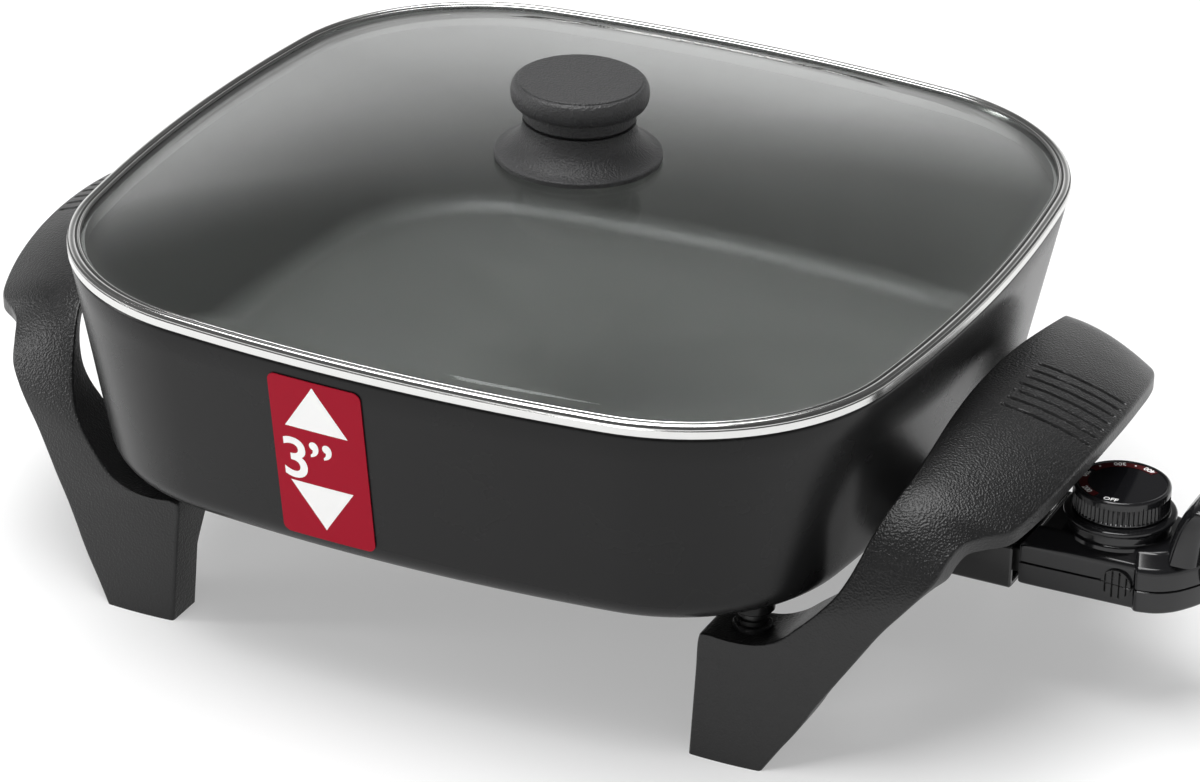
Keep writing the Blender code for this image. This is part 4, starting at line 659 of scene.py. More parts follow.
def handle_rings():
    """Closed channel sections: a crowned skin between two rounded edges, side walls going
    in from the edges, and the inside at wall thickness from them."""
    inner, outer, turn = handle_stations()
    inward = np.stack([np.zeros(len(turn)), np.cos(turn), -np.sin(turn)], axis=1)
    from_inner = unit(np.cross(inward, np.gradient(inner, axis=0))) * HANDLE_WALL
    from_outer = unit(np.cross(np.gradient(outer, axis=0), inward)) * HANDLE_WALL
    lift = np.sin(turn)[:, None]
    crown = LEG_CROWN + (GRIP_CROWN - LEG_CROWN) * lift ** 2
    on_shelf = np.clip((inner[:, 2:] / SHELF_PAD_TOP_Z - SHELF_START_SHARE) * SHELF_RAMP, 0.0, 1.0)
    leg = LEG_DEPTH + (SHELF_DEPTH - LEG_DEPTH) * on_shelf
    depth = leg + (GRIP_EDGE_DEPTH - leg) * lift
    outer_depth = LEG_DEPTH + (GRIP_EDGE_DEPTH - LEG_DEPTH) * lift
    across = outer - inner
    width = np.linalg.norm(across, axis=1, keepdims=True)
    bend = np.linspace(0.0, math.pi / 2, ROUND_POINTS // 2)[:, None, None]
    sweep = HANDLE_EDGE_ROUND * (1.0 - np.cos(bend))
    drop = HANDLE_EDGE_ROUND * (1.0 - np.sin(bend))
    first_edge = inner + across / width * sweep + inward * drop
    last_edge = (outer - across / width * sweep + inward * drop)[::-1]
    edge_share = HANDLE_EDGE_ROUND / width
    steps = np.linspace(0.0, 1.0, SKIN_POINTS)[:, None, None]
    share = edge_share + (1.0 - 2 * edge_share) * steps
    hump = 1.0 - (2 * share - 1.0) ** 2
    flat = 1.0 - (2 * edge_share - 1.0) ** 2
    top = inner + across * share - inward * crown * (hump - flat)
    cut = groove_cut(top[:, :, 1], share[:, :, 0]) * (lift[:, 0] > GROOVED_FROM_LIFT)
    top = top + inward * cut[:, :, None]
    roof = inner + across * share + inward * (HANDLE_WALL - crown * (hump - flat))
    roof = roof[::ROOF_KEPT_EVERY][::-1]
    under = inward * (HANDLE_WALL + HANDLE_EDGE_ROUND)
    rows = [inner + inward * depth, *first_edge, *top[1:-1], *last_edge,
            outer + inward * outer_depth, outer + from_outer + inward * outer_depth,
            outer + from_outer + under, *roof[1:-1], inner + from_inner + under,
            inner + from_inner + inward * depth]
    rings = np.stack(rows, axis=1)
    rings[[0, -1], :, 2] = 0.0
    return rings


def make_handle(name, side, material):
    """One moulding with the two pads that the pan's posts stand on."""
    rings = handle_rings() * np.array([side, 1.0, 1.0])
    skins = [skin(rings)]
    pad_radius = [SHELF_HOLE_RADIUS, SHELF_PAD_RADIUS, SHELF_PAD_RADIUS,
                  SHELF_PAD_RADIUS - SHELF_PAD_BEVEL, SHELF_HOLE_RADIUS]
    pad_height = [SHELF_PAD_LOW_Z, SHELF_PAD_LOW_Z, SHELF_PAD_TOP_Z - SHELF_PAD_BEVEL,
                  SHELF_PAD_TOP_Z, SHELF_PAD_TOP_Z]
    for end in (-1, 1):
        pad = lathe(pad_radius, pad_height, (side * POST_X, end * POST_Y, 0.0))
        skins.append(skin(pad, wrap=True))
    add_piece(name, skins, [material], "base", (name.replace("_moulding", "_handle"),))


phenolic = make_finish("pebbled_phenolic", (0.011, 0.011, 0.0113), 0.34, mottle=(70.0, 0.10),
                       rough_spread=0.05, specular=0.42,
                       grains=((1400.0, 0.00020, True), (4200.0, 0.00002, False)))
make_handle("right_moulding", 1, phenolic)
make_handle("left_moulding", -1, phenolic)


# Posts: a waisted spacer under each corner of the pan, and a screw from below the shelf.
# The spacers are phenolic, the screws zinc-plated steel with a cross recess.
SPACER_RADIUS = 0.0055
SPACER_WAIST_RADIUS = 0.0044
SPACER_LOW_Z = 0.0471
SPACER_TOP_Z = 0.0517
SPACER_STEP_SHARES = (0.0, 0.02, 0.35, 0.42, 0.58, 0.65, 0.98, 1.0)
SCREW_RADIUS = 0.0020
SCREW_HEAD_RADIUS = 0.0036
SCREW_HEAD = 0.0020
SCREW_HEAD_TOP_Z = 0.0418
SCREW_END_Z = 0.0576
CROSS_HALF_WIDTH = 0.0005
CROSS_REACH_SHARE = 0.62
CROSS_DEPTH = 0.0009
HEAD_ROWS = 14
HEAD_RIM_SHARE = 0.35
HEAD_POLE_SHARE = 0.02
SCREW_POINT_SHARE = 0.6
SCREW_HOLE_GAP = 0.0004
SPACER_BEVEL = 0.0003


def domed_head(radius, height, way):
    """Screw head as rings: a quarter ellipse whose top dips along a cross. Way is -1 for a
    head that looks down."""
    bend = np.linspace(0.0, math.pi / 2, HEAD_ROWS)
    reach = np.maximum(radius * np.sin(bend), radius * HEAD_POLE_SHARE)
    rings = lathe(reach, height * (HEAD_RIM_SHARE + (1.0 - HEAD_RIM_SHARE) * np.cos(bend)))
    x, y = np.abs(rings[:, :, 0]), np.abs(rings[:, :, 1])
    inside = np.hypot(x, y) < radius * CROSS_REACH_SHARE
    cross = inside & (np.minimum(x, y) < CROSS_HALF_WIDTH)
    rings[:, :, 2] -= cross * CROSS_DEPTH
    rings[:, :, 2] *= way
    return rings


def screw_rings(head_radius, head, radius, low_z, top_z, centre):
    """Headed screw that looks down: the head's rings, then its underside and the shank."""
    rings = domed_head(head_radius, head, -1)
    length, point = top_z - low_z, radius * SCREW_POINT_SHARE
    shank = lathe([head_radius, radius, radius, point],
                  [0.0, 0.0, length - (radius - point), length])
    rings = np.concatenate([rings, shank])
    return rings + np.array([centre[0], centre[1], low_z])


def make_posts():
    """Four spacers and their screws, each under its own name."""
    spacer = make_finish("spacer_phenolic", (0.012, 0.012, 0.012), 0.30, mottle=(200.0, 0.10))
    half = [SPACER_RADIUS - SPACER_BEVEL, SPACER_RADIUS, SPACER_RADIUS, SPACER_WAIST_RADIUS]
    hole = SCREW_RADIUS + SCREW_HOLE_GAP
    radius = [hole, *half, *half[::-1], hole]
    height = SPACER_LOW_Z + np.array(SPACER_STEP_SHARES) * (SPACER_TOP_Z - SPACER_LOW_Z)
    height = [SPACER_LOW_Z, *height, SPACER_TOP_Z]
    for side, side_name in ((-1, "left"), (1, "right")):
        for end, end_name in ((-1, "front"), (1, "rear")):
            centre = (side * POST_X, end * POST_Y, 0.0)
            where = f"{side_name}_{end_name}"
            add_piece(f"spacer_{where}", [skin(lathe(radius, height, centre), wrap=True)],
                      [spacer], "base", (f"post_spacer_{where}",))
            screw = screw_rings(SCREW_HEAD_RADIUS, SCREW_HEAD, SCREW_RADIUS,
                                SCREW_HEAD_TOP_Z, SCREW_END_Z, centre)
            add_piece(f"screw_{where}", [skin(screw)], [zinc], "base",
                      (f"post_screw_{where}",))


zinc = make_finish("zinc_plate", (0.56, 0.57, 0.58), 0.32, metallic=1.0, mottle=(400.0, 0.08),
                   grains=((2500.0, 0.00001, False),))
make_posts()


# Heating element: a steel-sheathed loop under the pan, its two ends in ceramic beads
# inside a phenolic socket shroud. A plain sleeve between them guides the probe.
SHROUD_START_X = 0.1260
SHROUD_END_X = 0.1800
SHROUD_HALF_WIDTH = 0.0200
SHROUD_BOTTOM_Z = 0.0376
SHROUD_TOP_Z = 0.0550
SHROUD_WALL = 0.0025
SHROUD_ROUND = 0.0018
SHROUD_MOUTH_ROUND = 0.0006
SLEEVE_RADIUS = 0.0044
SLEEVE_BORE_RADIUS = 0.0034
SLEEVE_START_X = 0.1000
SLEEVE_END_X = 0.1380
SOCKET_AXIS_Z = 0.0472
SLEEVE_PAD = ((0.1030, 0.1230), 0.0045, (0.0500, 0.0572))


def rounded_box(x, half_width, low_z, top_z, corner):
    """Rings across X of a rounded rectangle: four quarter circles pushed to the corners."""
    count = 4 * ROUND_POINTS
    turn = np.linspace(0.0, 2 * math.pi, count, endpoint=False) + math.pi / count
    x, half_width, low_z, top_z, corner = (
        np.asarray(value)[:, None] for value in np.broadcast_arrays(
            np.asarray(x, dtype=float), half_width, low_z, top_z, corner))
    y = np.sign(np.cos(turn)) * (half_width - corner) + corner * np.cos(turn)
    middle, half_height = (low_z + top_z) / 2, (top_z - low_z) / 2
    z = middle + np.sign(np.sin(turn)) * (half_height - corner) + corner * np.sin(turn)
    return np.stack([np.broadcast_to(x, y.shape), y, z], axis=2)


def make_socket():
    """Shroud open towards the plug, and the probe's sleeve with its pad."""
    lip = SHROUD_MOUTH_ROUND
    x = [SHROUD_START_X, SHROUD_START_X + lip, SHROUD_END_X - lip, SHROUD_END_X, SHROUD_END_X,
         SHROUD_END_X - lip, SHROUD_START_X + SHROUD_WALL]
    inset = np.array([lip, 0.0, 0.0, lip, SHROUD_WALL - lip, SHROUD_WALL, SHROUD_WALL])
    corner = np.array([SHROUD_ROUND] * 4 + [SHROUD_ROUND / 2] * 3)
    rings = rounded_box(x, SHROUD_HALF_WIDTH - inset, SHROUD_BOTTOM_Z + inset,
                        SHROUD_TOP_Z - inset, corner)
    shell = make_finish("shroud_phenolic", (0.010, 0.010, 0.010), 0.22, mottle=(90.0, 0.10),
                        grains=((1200.0, 0.00001, False),))
    add_piece("socket_shell", [skin(rings)], [shell], "base", ("socket_shroud",))
    tube = lathe([SLEEVE_BORE_RADIUS, SLEEVE_RADIUS, SLEEVE_RADIUS, SLEEVE_BORE_RADIUS],
                 [SLEEVE_START_X, SLEEVE_START_X, SLEEVE_END_X, SLEEVE_END_X],
                 (0.0, 0.0, SOCKET_AXIS_Z), along_x=True)
    (low_x, high_x), half, (low_z, high_z) = SLEEVE_PAD
    pad = rounded_box([low_x, high_x], half, low_z, high_z, SHROUD_MOUTH_ROUND)
    add_piece("sleeve", [skin(tube, wrap=True), skin(pad)], [zinc], "base",
              ("probe_sleeve",))


make_socket()


# Lid band: bright steel sheet rolled round the edge of the glass. From outside in it has
# a flat wall, a crease, a bead, a narrow groove and a small bead by the glass. The groove's
# floor carries painted shade: a near-black finish where shade falls.
BAND_BOTTOM_Z = 0.1367
BAND_TOP_Z = 0.1420
BAND_SHEET = 0.0010
BAND_TOP_WIDTH = 0.0050
BAND_WALL_BOTTOM_Z = 0.1370
BAND_WALL_TOP_Z = 0.1402
BAND_CREASE = 0.00035
BAND_BEAD = 0.0016
BAND_GROOVE_INSET = 0.0034
BAND_GROOVE_DEPTH = 0.0008
BAND_INNER_BEAD = 0.0006
BAND_INNER_BEAD_DROP = 0.0003
BAND_STEP = 0.0001
BAND_SHADE_SHARE = 0.55
BAND_SHADE_FACING = 0.2
BAND_SHARP_ANGLE = math.radians(30)
SKIRT_INSET = 0.0053
SKIRT_BOTTOM_Z = 0.1320
GLASS_EDGE_INSET = 0.0016
BAND_GLASS_GAP = 0.0003


def make_band():
    """Band profile: wall, beads and groove outside, then the glass's seat and the skirt."""
    roof = BAND_TOP_Z - BAND_SHEET
    seat = BAND_BOTTOM_Z + BAND_SHEET
    foot = arc((BAND_SHEET / 2, BAND_WALL_BOTTOM_Z + BAND_SHEET / 2), BAND_SHEET / 2, 270.0, 180.0)
    crease = ([0.0, BAND_CREASE, BAND_CREASE],
              [BAND_WALL_TOP_Z - BAND_CREASE, BAND_WALL_TOP_Z, BAND_WALL_TOP_Z + BAND_STEP])
    bead = arc((BAND_CREASE / 2 + BAND_BEAD, BAND_TOP_Z - BAND_BEAD), BAND_BEAD, 172.0, 40.0)
    groove_z = BAND_TOP_Z - BAND_GROOVE_DEPTH
    groove = ([BAND_GROOVE_INSET - 2 * BAND_STEP, BAND_GROOVE_INSET + 2 * BAND_STEP],
              [groove_z, groove_z])
    inner_z = BAND_TOP_Z - BAND_INNER_BEAD_DROP - BAND_INNER_BEAD
    inner = arc((BAND_TOP_WIDTH - BAND_INNER_BEAD * 1.6, inner_z), BAND_INNER_BEAD, 165.0, 20.0)
    slope = ([BAND_TOP_WIDTH], [roof + BAND_STEP])
    under = ([BAND_TOP_WIDTH - 2 * BAND_STEP, GLASS_EDGE_INSET - BAND_GLASS_GAP,
              GLASS_EDGE_INSET - BAND_GLASS_GAP], [roof, roof, seat])
    skirt = ([SKIRT_INSET + BAND_SHEET, SKIRT_INSET + BAND_SHEET, SKIRT_INSET, SKIRT_INSET],
             [seat, SKIRT_BOTTOM_Z, SKIRT_BOTTOM_Z, BAND_WALL_BOTTOM_Z])
    profile = joined(foot, crease, bead, groove, inner, slope, under, skirt)
    band = make_finish("bright_band_steel", (0.70, 0.70, 0.69), 0.16, metallic=1.0,
                       mottle=(90.0, 0.05), rough_spread=0.04,
                       grains=((60.0, 0.00002, False),), stretch=(1.0, 1.0, 40.0))
    # Painted shade: the groove's floor gets a near-black finish in place of the shade that falls
    # there.
    shade = make_finish("band_groove_painted_shade", (0.035, 0.035, 0.034), 0.6, mottle=(90.0, 0.1))

    # Faces low in the groove and facing up, which take the painted shade.
    def in_groove_painted_shade(middles, normals):
        z = middles[:, 2]
        low = z < BAND_TOP_Z - BAND_GROOVE_DEPTH * BAND_SHADE_SHARE
        above_wall = z > BAND_WALL_TOP_Z + BAND_SHEET / 2
        return low & above_wall & (normals[:, 2] > BAND_SHADE_FACING)

    add_piece("lid_band", [skin(bowed_square(*profile), wrap=True)], [band, shade], "lid",
              ("lid_rim",), sharp=BAND_SHARP_ANGLE, paint=in_groove_painted_shade)


make_band()


# Glass: 2.9 mm tempered dome with a faint green cast, bent up from a flat border.
# Its light passes to the pan: shadow rays go straight through with a slight loss.
GLASS_EDGE_TOP_Z = 0.1409
GLASS_THICK = 0.0029
GLASS_RISE = 0.0180
GLASS_HOLE_RADIUS = 0.0045
GLASS_BORDER_SHARE = 0.96
GLASS_DOME_POWER = 2.2
GLASS_ROUNDING_SHARE = 0.85
GLASS_HALF = RIM_HALF - GLASS_EDGE_INSET
GLASS_RINGS = 60
GLASS_SHARP_ANGLE = math.radians(60)
GLASS_IOR = 1.42
GLASS_SMEAR_SCALE = 14.0
GLASS_SMEAR_ROUGHNESS = 0.03
GLASS_TINT = (0.955, 0.975, 0.968, 1.0)
GLASS_SHADE = (0.90, 0.92, 0.91, 1.0)


def dome_height(share):
    """Top of the glass: the rise falls off with a power of the share from the middle."""
    fall = np.minimum(1.0, share / GLASS_BORDER_SHARE) ** GLASS_DOME_POWER
    return GLASS_EDGE_TOP_Z + GLASS_RISE * (1.0 - fall)


def glass_rings(share, z):
    """Rings of the bowed square scaled by their shares, turning round near the middle."""
    edge = bowed_square(GLASS_EDGE_INSET, 0.0)[0]
    size = np.hypot(edge[:, 0], edge[:, 1])
    share = share[:, None]
    blend = np.minimum(1.0, (1.0 - share) / GLASS_ROUNDING_SHARE)
    reach = share * (1.0 - blend + blend * GLASS_HALF / size)
    x, y = edge[:, 0] * reach, edge[:, 1] * reach
    return np.stack([x, y, np.broadcast_to(z[:, None], x.shape)], axis=2)


def make_glass_material():
    """Clear glass for the eye, and a light tint for the light that passes through."""
    material = bpy.data.materials.new("tempered_glass")
    material.use_nodes = True
    tree = material.node_tree
    glass = tree.nodes["Principled BSDF"]
    glass.inputs["Base Color"].default_value = GLASS_TINT
    glass.inputs["Transmission Weight"].default_value = 1.0
    glass.inputs["IOR"].default_value = GLASS_IOR
    place = tree.nodes.new("ShaderNodeTexCoord").outputs["Object"]
    smear = add_node(tree, "ShaderNodeTexNoise", (("Scale", GLASS_SMEAR_SCALE),),
                     (("Vector", place),))
    rough = add_node(tree, "ShaderNodeMapRange", (
        ("To Min", 0.0), ("To Max", GLASS_SMEAR_ROUGHNESS)), (("Value", smear.outputs["Fac"]),))
    tree.links.new(rough.outputs["Result"], glass.inputs["Roughness"])
    through = add_node(tree, "ShaderNodeBsdfTransparent", (("Color", GLASS_SHADE),))
    path = tree.nodes.new("ShaderNodeLightPath")
    mix = add_node(tree, "ShaderNodeMixShader", feeds=(
        (0, path.outputs["Is Shadow Ray"]), (1, glass.outputs[0]), (2, through.outputs[0])))
    tree.links.new(mix.outputs[0], tree.nodes["Material Output"].inputs[0])
    return material


def make_glass():
    """Top and underside of the dome, joined by flat edges at the rim and the hole."""
    share = np.linspace(GLASS_HOLE_RADIUS / GLASS_HALF, 1.0, GLASS_RINGS)
    top = glass_rings(share, dome_height(share))
    under = glass_rings(share[::-1], dome_height(share[::-1]) - GLASS_THICK)
    rings = np.concatenate([top, under])
    add_piece("glass_dome", [skin(rings, wrap=True)], [make_glass_material()], "lid",
              ("lid_glass",), sharp=GLASS_SHARP_ANGLE)


make_glass()


# Knob: two phenolic mouldings, a flared foot and a round grip, held through the glass by
# one screw with a washer below and a silicone gasket above.
KNOB_FOOT_RADIUS = 0.0302
KNOB_FOOT_EDGE = 0.0020
KNOB_FOOT_RIM = 0.0027
KNOB_FOOT_ROUND = 0.0016
KNOB_BASE_HEIGHT = 0.0138
KNOB_NECK_RADIUS = 0.0203
KNOB_NECK_HEIGHT = 0.0060
KNOB_NECK_GAP = 0.0003
KNOB_DISC_RADIUS = 0.0248
KNOB_DISC_HEIGHT = 0.0090
KNOB_TOP_RADIUS = 0.0223
KNOB_TOP_ROUND = 0.0005
KNOB_FLARE_POWER = 2.6
KNOB_FLARE_ROWS = 20
KNOB_FOOT_EDGE_SHARE = 0.4
KNOB_NECK_BEVEL = 0.0010
KNOB_DISC_BEVEL = 0.0004
KNOB_BULGE_POWER = 0.8
KNOB_TOP_SHARE = 0.9
KNOB_TOP_ROWS = 12
KNOB_BORE_RADIUS = 0.0027
KNOB_SCREW_BORE_RADIUS = 0.0024
KNOB_LATHE_POINTS = 96
CROWN_Z = GLASS_EDGE_TOP_Z + GLASS_RISE
KNOB_FOOT_Z = float(dome_height((KNOB_FOOT_RADIUS - KNOB_FOOT_RIM) / GLASS_HALF)) + KNOB_NECK_GAP
GASKET_RADIUS = 0.0140
GASKET_THICK = 0.0012
WASHER_RADIUS = 0.0080
WASHER_THICK = 0.0012
LID_SCREW_RADIUS = 0.0021
LID_SCREW_HEAD_RADIUS = 0.0045
LID_SCREW_HEAD = 0.0018
LID_SCREW_REACH = 0.0072


def make_knob():
    """Turned profiles: the flare is a power curve and the grip's edge a power of a cosine,
    under a crisp top edge."""
    pebble = make_finish("knob_pebble", (0.022, 0.022, 0.023), 0.50, mottle=(120.0, 0.12),
                         grains=((1500.0, 0.00030, True), (3600.0, 0.00003, False)))
    gasket_z = CROWN_Z + KNOB_NECK_GAP
    recess_z = gasket_z + GASKET_THICK + KNOB_NECK_GAP
    parting_z = KNOB_FOOT_Z + KNOB_BASE_HEIGHT
    rise = np.linspace(0.0, 1.0, KNOB_FLARE_ROWS)
    flare = KNOB_FOOT_RADIUS - KNOB_FOOT_ROUND - KNOB_NECK_RADIUS
    slope = KNOB_BASE_HEIGHT - KNOB_FOOT_EDGE
    concave = (KNOB_NECK_RADIUS + flare * (1.0 - rise) ** KNOB_FLARE_POWER,
               KNOB_FOOT_Z + KNOB_FOOT_EDGE + slope * rise)
    edge_round = KNOB_FOOT_EDGE * KNOB_FOOT_EDGE_SHARE
    edge = arc((KNOB_FOOT_RADIUS - edge_round, KNOB_FOOT_Z + KNOB_FOOT_EDGE - edge_round),
               edge_round, 0.0, 80.0)
    base = joined(([KNOB_BORE_RADIUS, KNOB_FOOT_RADIUS - KNOB_FOOT_RIM], [recess_z, recess_z]),
                  ([KNOB_FOOT_RADIUS - KNOB_FOOT_RIM, KNOB_FOOT_RADIUS], [KNOB_FOOT_Z] * 2),
                  edge, (concave[0][1:], concave[1][1:]),
                  ([KNOB_NECK_RADIUS - KNOB_NECK_BEVEL, KNOB_BORE_RADIUS], [parting_z] * 2))
    add_piece("knob_foot", [skin(lathe(*base, points=KNOB_LATHE_POINTS), wrap=True)], [pebble],
              "lid", ("knob_base",))
    neck_z = parting_z + KNOB_NECK_GAP
    disc_z = neck_z + KNOB_NECK_HEIGHT
    top_z = disc_z + KNOB_DISC_HEIGHT
    socket_z = neck_z + LID_SCREW_REACH + KNOB_NECK_GAP
    turn = np.radians(np.linspace(-90.0, 90.0, 2 * ROUND_POINTS))
    wider = KNOB_DISC_RADIUS - KNOB_TOP_RADIUS
    bulge = (KNOB_TOP_RADIUS + wider * np.cos(turn) ** KNOB_BULGE_POWER,
             disc_z + (KNOB_DISC_HEIGHT - KNOB_TOP_ROUND) * (0.5 + 0.5 * np.sin(turn)))
    crest = arc((KNOB_TOP_RADIUS - KNOB_TOP_ROUND, top_z - KNOB_TOP_ROUND), KNOB_TOP_ROUND,
                15.0, 90.0)
    bore = ([POLE_RADIUS, KNOB_SCREW_BORE_RADIUS, KNOB_SCREW_BORE_RADIUS],
            [socket_z, socket_z, neck_z])
    neck = ([KNOB_NECK_RADIUS - KNOB_NECK_BEVEL, KNOB_NECK_RADIUS, KNOB_NECK_RADIUS,
             KNOB_NECK_RADIUS + KNOB_DISC_BEVEL],
            [neck_z, neck_z + KNOB_NECK_BEVEL, disc_z - KNOB_DISC_BEVEL, disc_z])
    inward = np.linspace(KNOB_TOP_RADIUS * KNOB_TOP_SHARE, POLE_RADIUS, KNOB_TOP_ROWS)
    head = joined(bore, neck, bulge, crest, (inward, np.full(KNOB_TOP_ROWS, top_z)))
    add_piece("knob_grip", [skin(lathe(*head, points=KNOB_LATHE_POINTS))], [pebble], "lid",
              ("knob_top",))
    rubber = make_finish("gasket_rubber", (0.024, 0.024, 0.024), 0.62, mottle=(150.0, 0.12),
                         grains=((1500.0, 0.00002, False),))
    ring = lathe([KNOB_BORE_RADIUS, GASKET_RADIUS, GASKET_RADIUS, KNOB_BORE_RADIUS],
                 [gasket_z, gasket_z, gasket_z + GASKET_THICK, gasket_z + GASKET_THICK])
    add_piece("lid_gasket", [skin(ring, wrap=True)], [rubber], "lid",
              ("knob_gasket",))
    washer_z = CROWN_Z - GLASS_THICK - KNOB_NECK_GAP
    bevel = WASHER_THICK / 4
    washer = lathe([KNOB_BORE_RADIUS, WASHER_RADIUS - bevel, WASHER_RADIUS, WASHER_RADIUS,
                    KNOB_BORE_RADIUS],
                   [washer_z - WASHER_THICK, washer_z - WASHER_THICK,
                    washer_z - WASHER_THICK + bevel, washer_z, washer_z])
    add_piece("lid_washer", [skin(washer, wrap=True)], [zinc], "lid",
              ("knob_washer",))
    head_z = washer_z - WASHER_THICK - KNOB_NECK_GAP
    screw = screw_rings(LID_SCREW_HEAD_RADIUS, LID_SCREW_HEAD, LID_SCREW_RADIUS, head_z,
                        socket_z - KNOB_NECK_GAP, (0.0, 0.0))
    add_piece("lid_screw", [skin(screw)], [zinc], "lid", ("knob_screw",))


make_knob()


# Heat control: two gloss black thermoset shells that meet at a fine parting line, a nose
# block with the probe at the front, and a fluted finger pad on each side.
CONTROL_START_X = 0.1832
CONTROL_LENGTH = 0.0638
CONTROL_END_X = CONTROL_START_X + CONTROL_LENGTH
CONTROL_HALF_WIDTH = 0.0205
CONTROL_BOTTOM_Z = 0.0405
CONTROL_PARTING_Z = 0.0493
CONTROL_SHOULDER_Z = 0.0560
CONTROL_TOP_Z = 0.0625
CONTROL_BEVEL = 0.0045
CONTROL_SHOULDER_SHARE = 0.8
CONTROL_SHOULDER_DROP = 0.0010
CONTROL_CROWN_ROUND = 0.0030
CONTROL_CROWN_INSET = 0.0016
CONTROL_BASE_ROUND = 0.0016
CONTROL_WALL = 0.0016
PARTING_GAP = 0.0003
PARTING_BEVEL = 0.0003
OUTLINE_POINTS = 90
CONTROL_OUTLINE_SHARES = (
    (0.0, 0.93), (0.02, 0.955), (0.30, 0.935), (0.625, 0.91), (0.655, 0.93), (0.672, 0.99),
    (0.70, 1.0), (0.79, 0.92), (0.87, 0.74), (0.93, 0.50), (0.98, 0.22), (1.0, 0.0),
)
PULL_X = 0.2325
PULL_LENGTH = 0.0135
PULL_HALF_WIDTH = 0.0150
PULL_LOW_Z = 0.0590
PULL_HEIGHT = 0.0235
PULL_LEAN = 0.0085
PULL_RISE_SHARES = (0.0, 0.30, 0.60, 0.85, 0.96, 1.0)
PULL_LEAN_SHARES = (0.0, 0.12, 0.36, 0.72, 0.94, 1.0)
PULL_SIZE_SHARES = (1.0, 0.93, 0.94, 1.0, 0.97, 0.82)
PULL_CORNER_SHARE = 0.55
PULL_ROWS = 40
PULL_SIDE_TOP_SHARE = 0.97
PULL_CLOSING_SIZE_SHARES = (0.93, 0.80, 0.55, 0.02)
PULL_CLOSING_RISE_SHARES = (0.985, 0.995, 1.0, 1.0)
DIAL_X = 0.2120
PEDESTAL_RADIUS = 0.0200
PEDESTAL_NECK_RADIUS = 0.0178
PEDESTAL_TOP_Z = 0.0691
PEDESTAL_FILLET = 0.0012
PEDESTAL_FILLET_LIFT = 0.0008
PEDESTAL_LIP_ROUND = 0.0009
PEDESTAL_STEPS = (
    (0.0, 0.0042), (0.0008, 0.0038), (0.0008, 0.0032), (0.0010, 0.0028),
)
PEDESTAL_LIP_DROP = 0.0013
PEDESTAL_DISH = (0.0022, 0.0024)
PEDESTAL_DISH_DEPTH = 0.0003
PAD_X = 0.2188
PAD_RADIUS = 0.0055
PAD_INNER_Y = 0.0191
PAD_OUTER_Y = 0.0200
PAD_FLUTE_PITCH = 0.0026
PAD_FLUTE_DEPTH = 0.0006
PAD_FLUTE_SHARE = 0.24
PAD_FLUTED_SHARE = 0.94
PAD_SEAM_HALF = 0.00022
PAD_SEAM_TILT = 0.05
PAD_ROWS = 26
GLAND_RADIUS = 0.0062
GLAND_BORE_RADIUS = 0.0034
GLAND_Z = 0.0520
GLAND_START_X = 0.2408
GLAND_END_X = 0.2590
GLAND_RIB_COUNT = 5
GLAND_RIB_DEPTH = 0.0004
GLAND_ROWS = 60
NOSE_START_X = 0.1625
NOSE_END_X = 0.1940
NOSE_HALF_WIDTH = 0.0152
NOSE_HALF_HEIGHT = 0.0048
NOSE_ROUND = 0.0010
NOSE_BEVEL = 0.0006


def control_plan(inset, z):
    """Rings of the case's plan: half widths along the case from the table of shares, drawn
    in by the inset on every side, then mirrored across the middle."""
    table = np.array(CONTROL_OUTLINE_SHARES)
    at = np.linspace(0.0, len(table) - 1, OUTLINE_POINTS)
    along, half = smooth_rows(table, at).T
    half[-1] = 0.0
    inset, z = np.atleast_1d(inset)[:, None], np.atleast_1d(z)[:, None]
    shrink = 1.0 - inset / CONTROL_HALF_WIDTH
    x = CONTROL_START_X + inset + along * (CONTROL_LENGTH - 2 * inset)
    y = half * CONTROL_HALF_WIDTH * shrink
    x = np.concatenate([x, x[:, -2::-1]], axis=1)
    y = np.concatenate([-y, y[:, -2::-1]], axis=1)
    return np.stack([x, y, np.broadcast_to(z, x.shape)], axis=2)


def pull_rings():
    """Hump to pull the plug by: rounded rectangles |cos|^n, |sin|^n that lean back and
    change size with the height."""
    table = np.array([PULL_RISE_SHARES, PULL_LEAN_SHARES, PULL_SIZE_SHARES]).T
    rows = smooth_rows(table, np.linspace(0.0, len(table) - 1, PULL_ROWS))
    turn = np.linspace(0.0, 2 * math.pi, LATHE_POINTS * 2, endpoint=False)
    cos, sin = np.cos(turn), np.sin(turn)
    size = rows[:, 2:]
    closing = np.array(PULL_CLOSING_SIZE_SHARES)
    size = np.concatenate([size, closing[:, None] * size[-1]])
    rise = np.concatenate([rows[:, 0] * PULL_SIDE_TOP_SHARE, PULL_CLOSING_RISE_SHARES])[:, None]
    lean = np.concatenate([rows[:, 1], np.ones(len(closing))])[:, None]
    x = np.sign(cos) * np.abs(cos) ** PULL_CORNER_SHARE * PULL_LENGTH / 2 * size
    y = np.sign(sin) * np.abs(sin) ** PULL_CORNER_SHARE * PULL_HALF_WIDTH * size
    z = np.broadcast_to(PULL_LOW_Z + rise * PULL_HEIGHT, x.shape)
    return np.stack([PULL_X + PULL_LENGTH / 2 + lean * PULL_LEAN + x, y, z], axis=2)


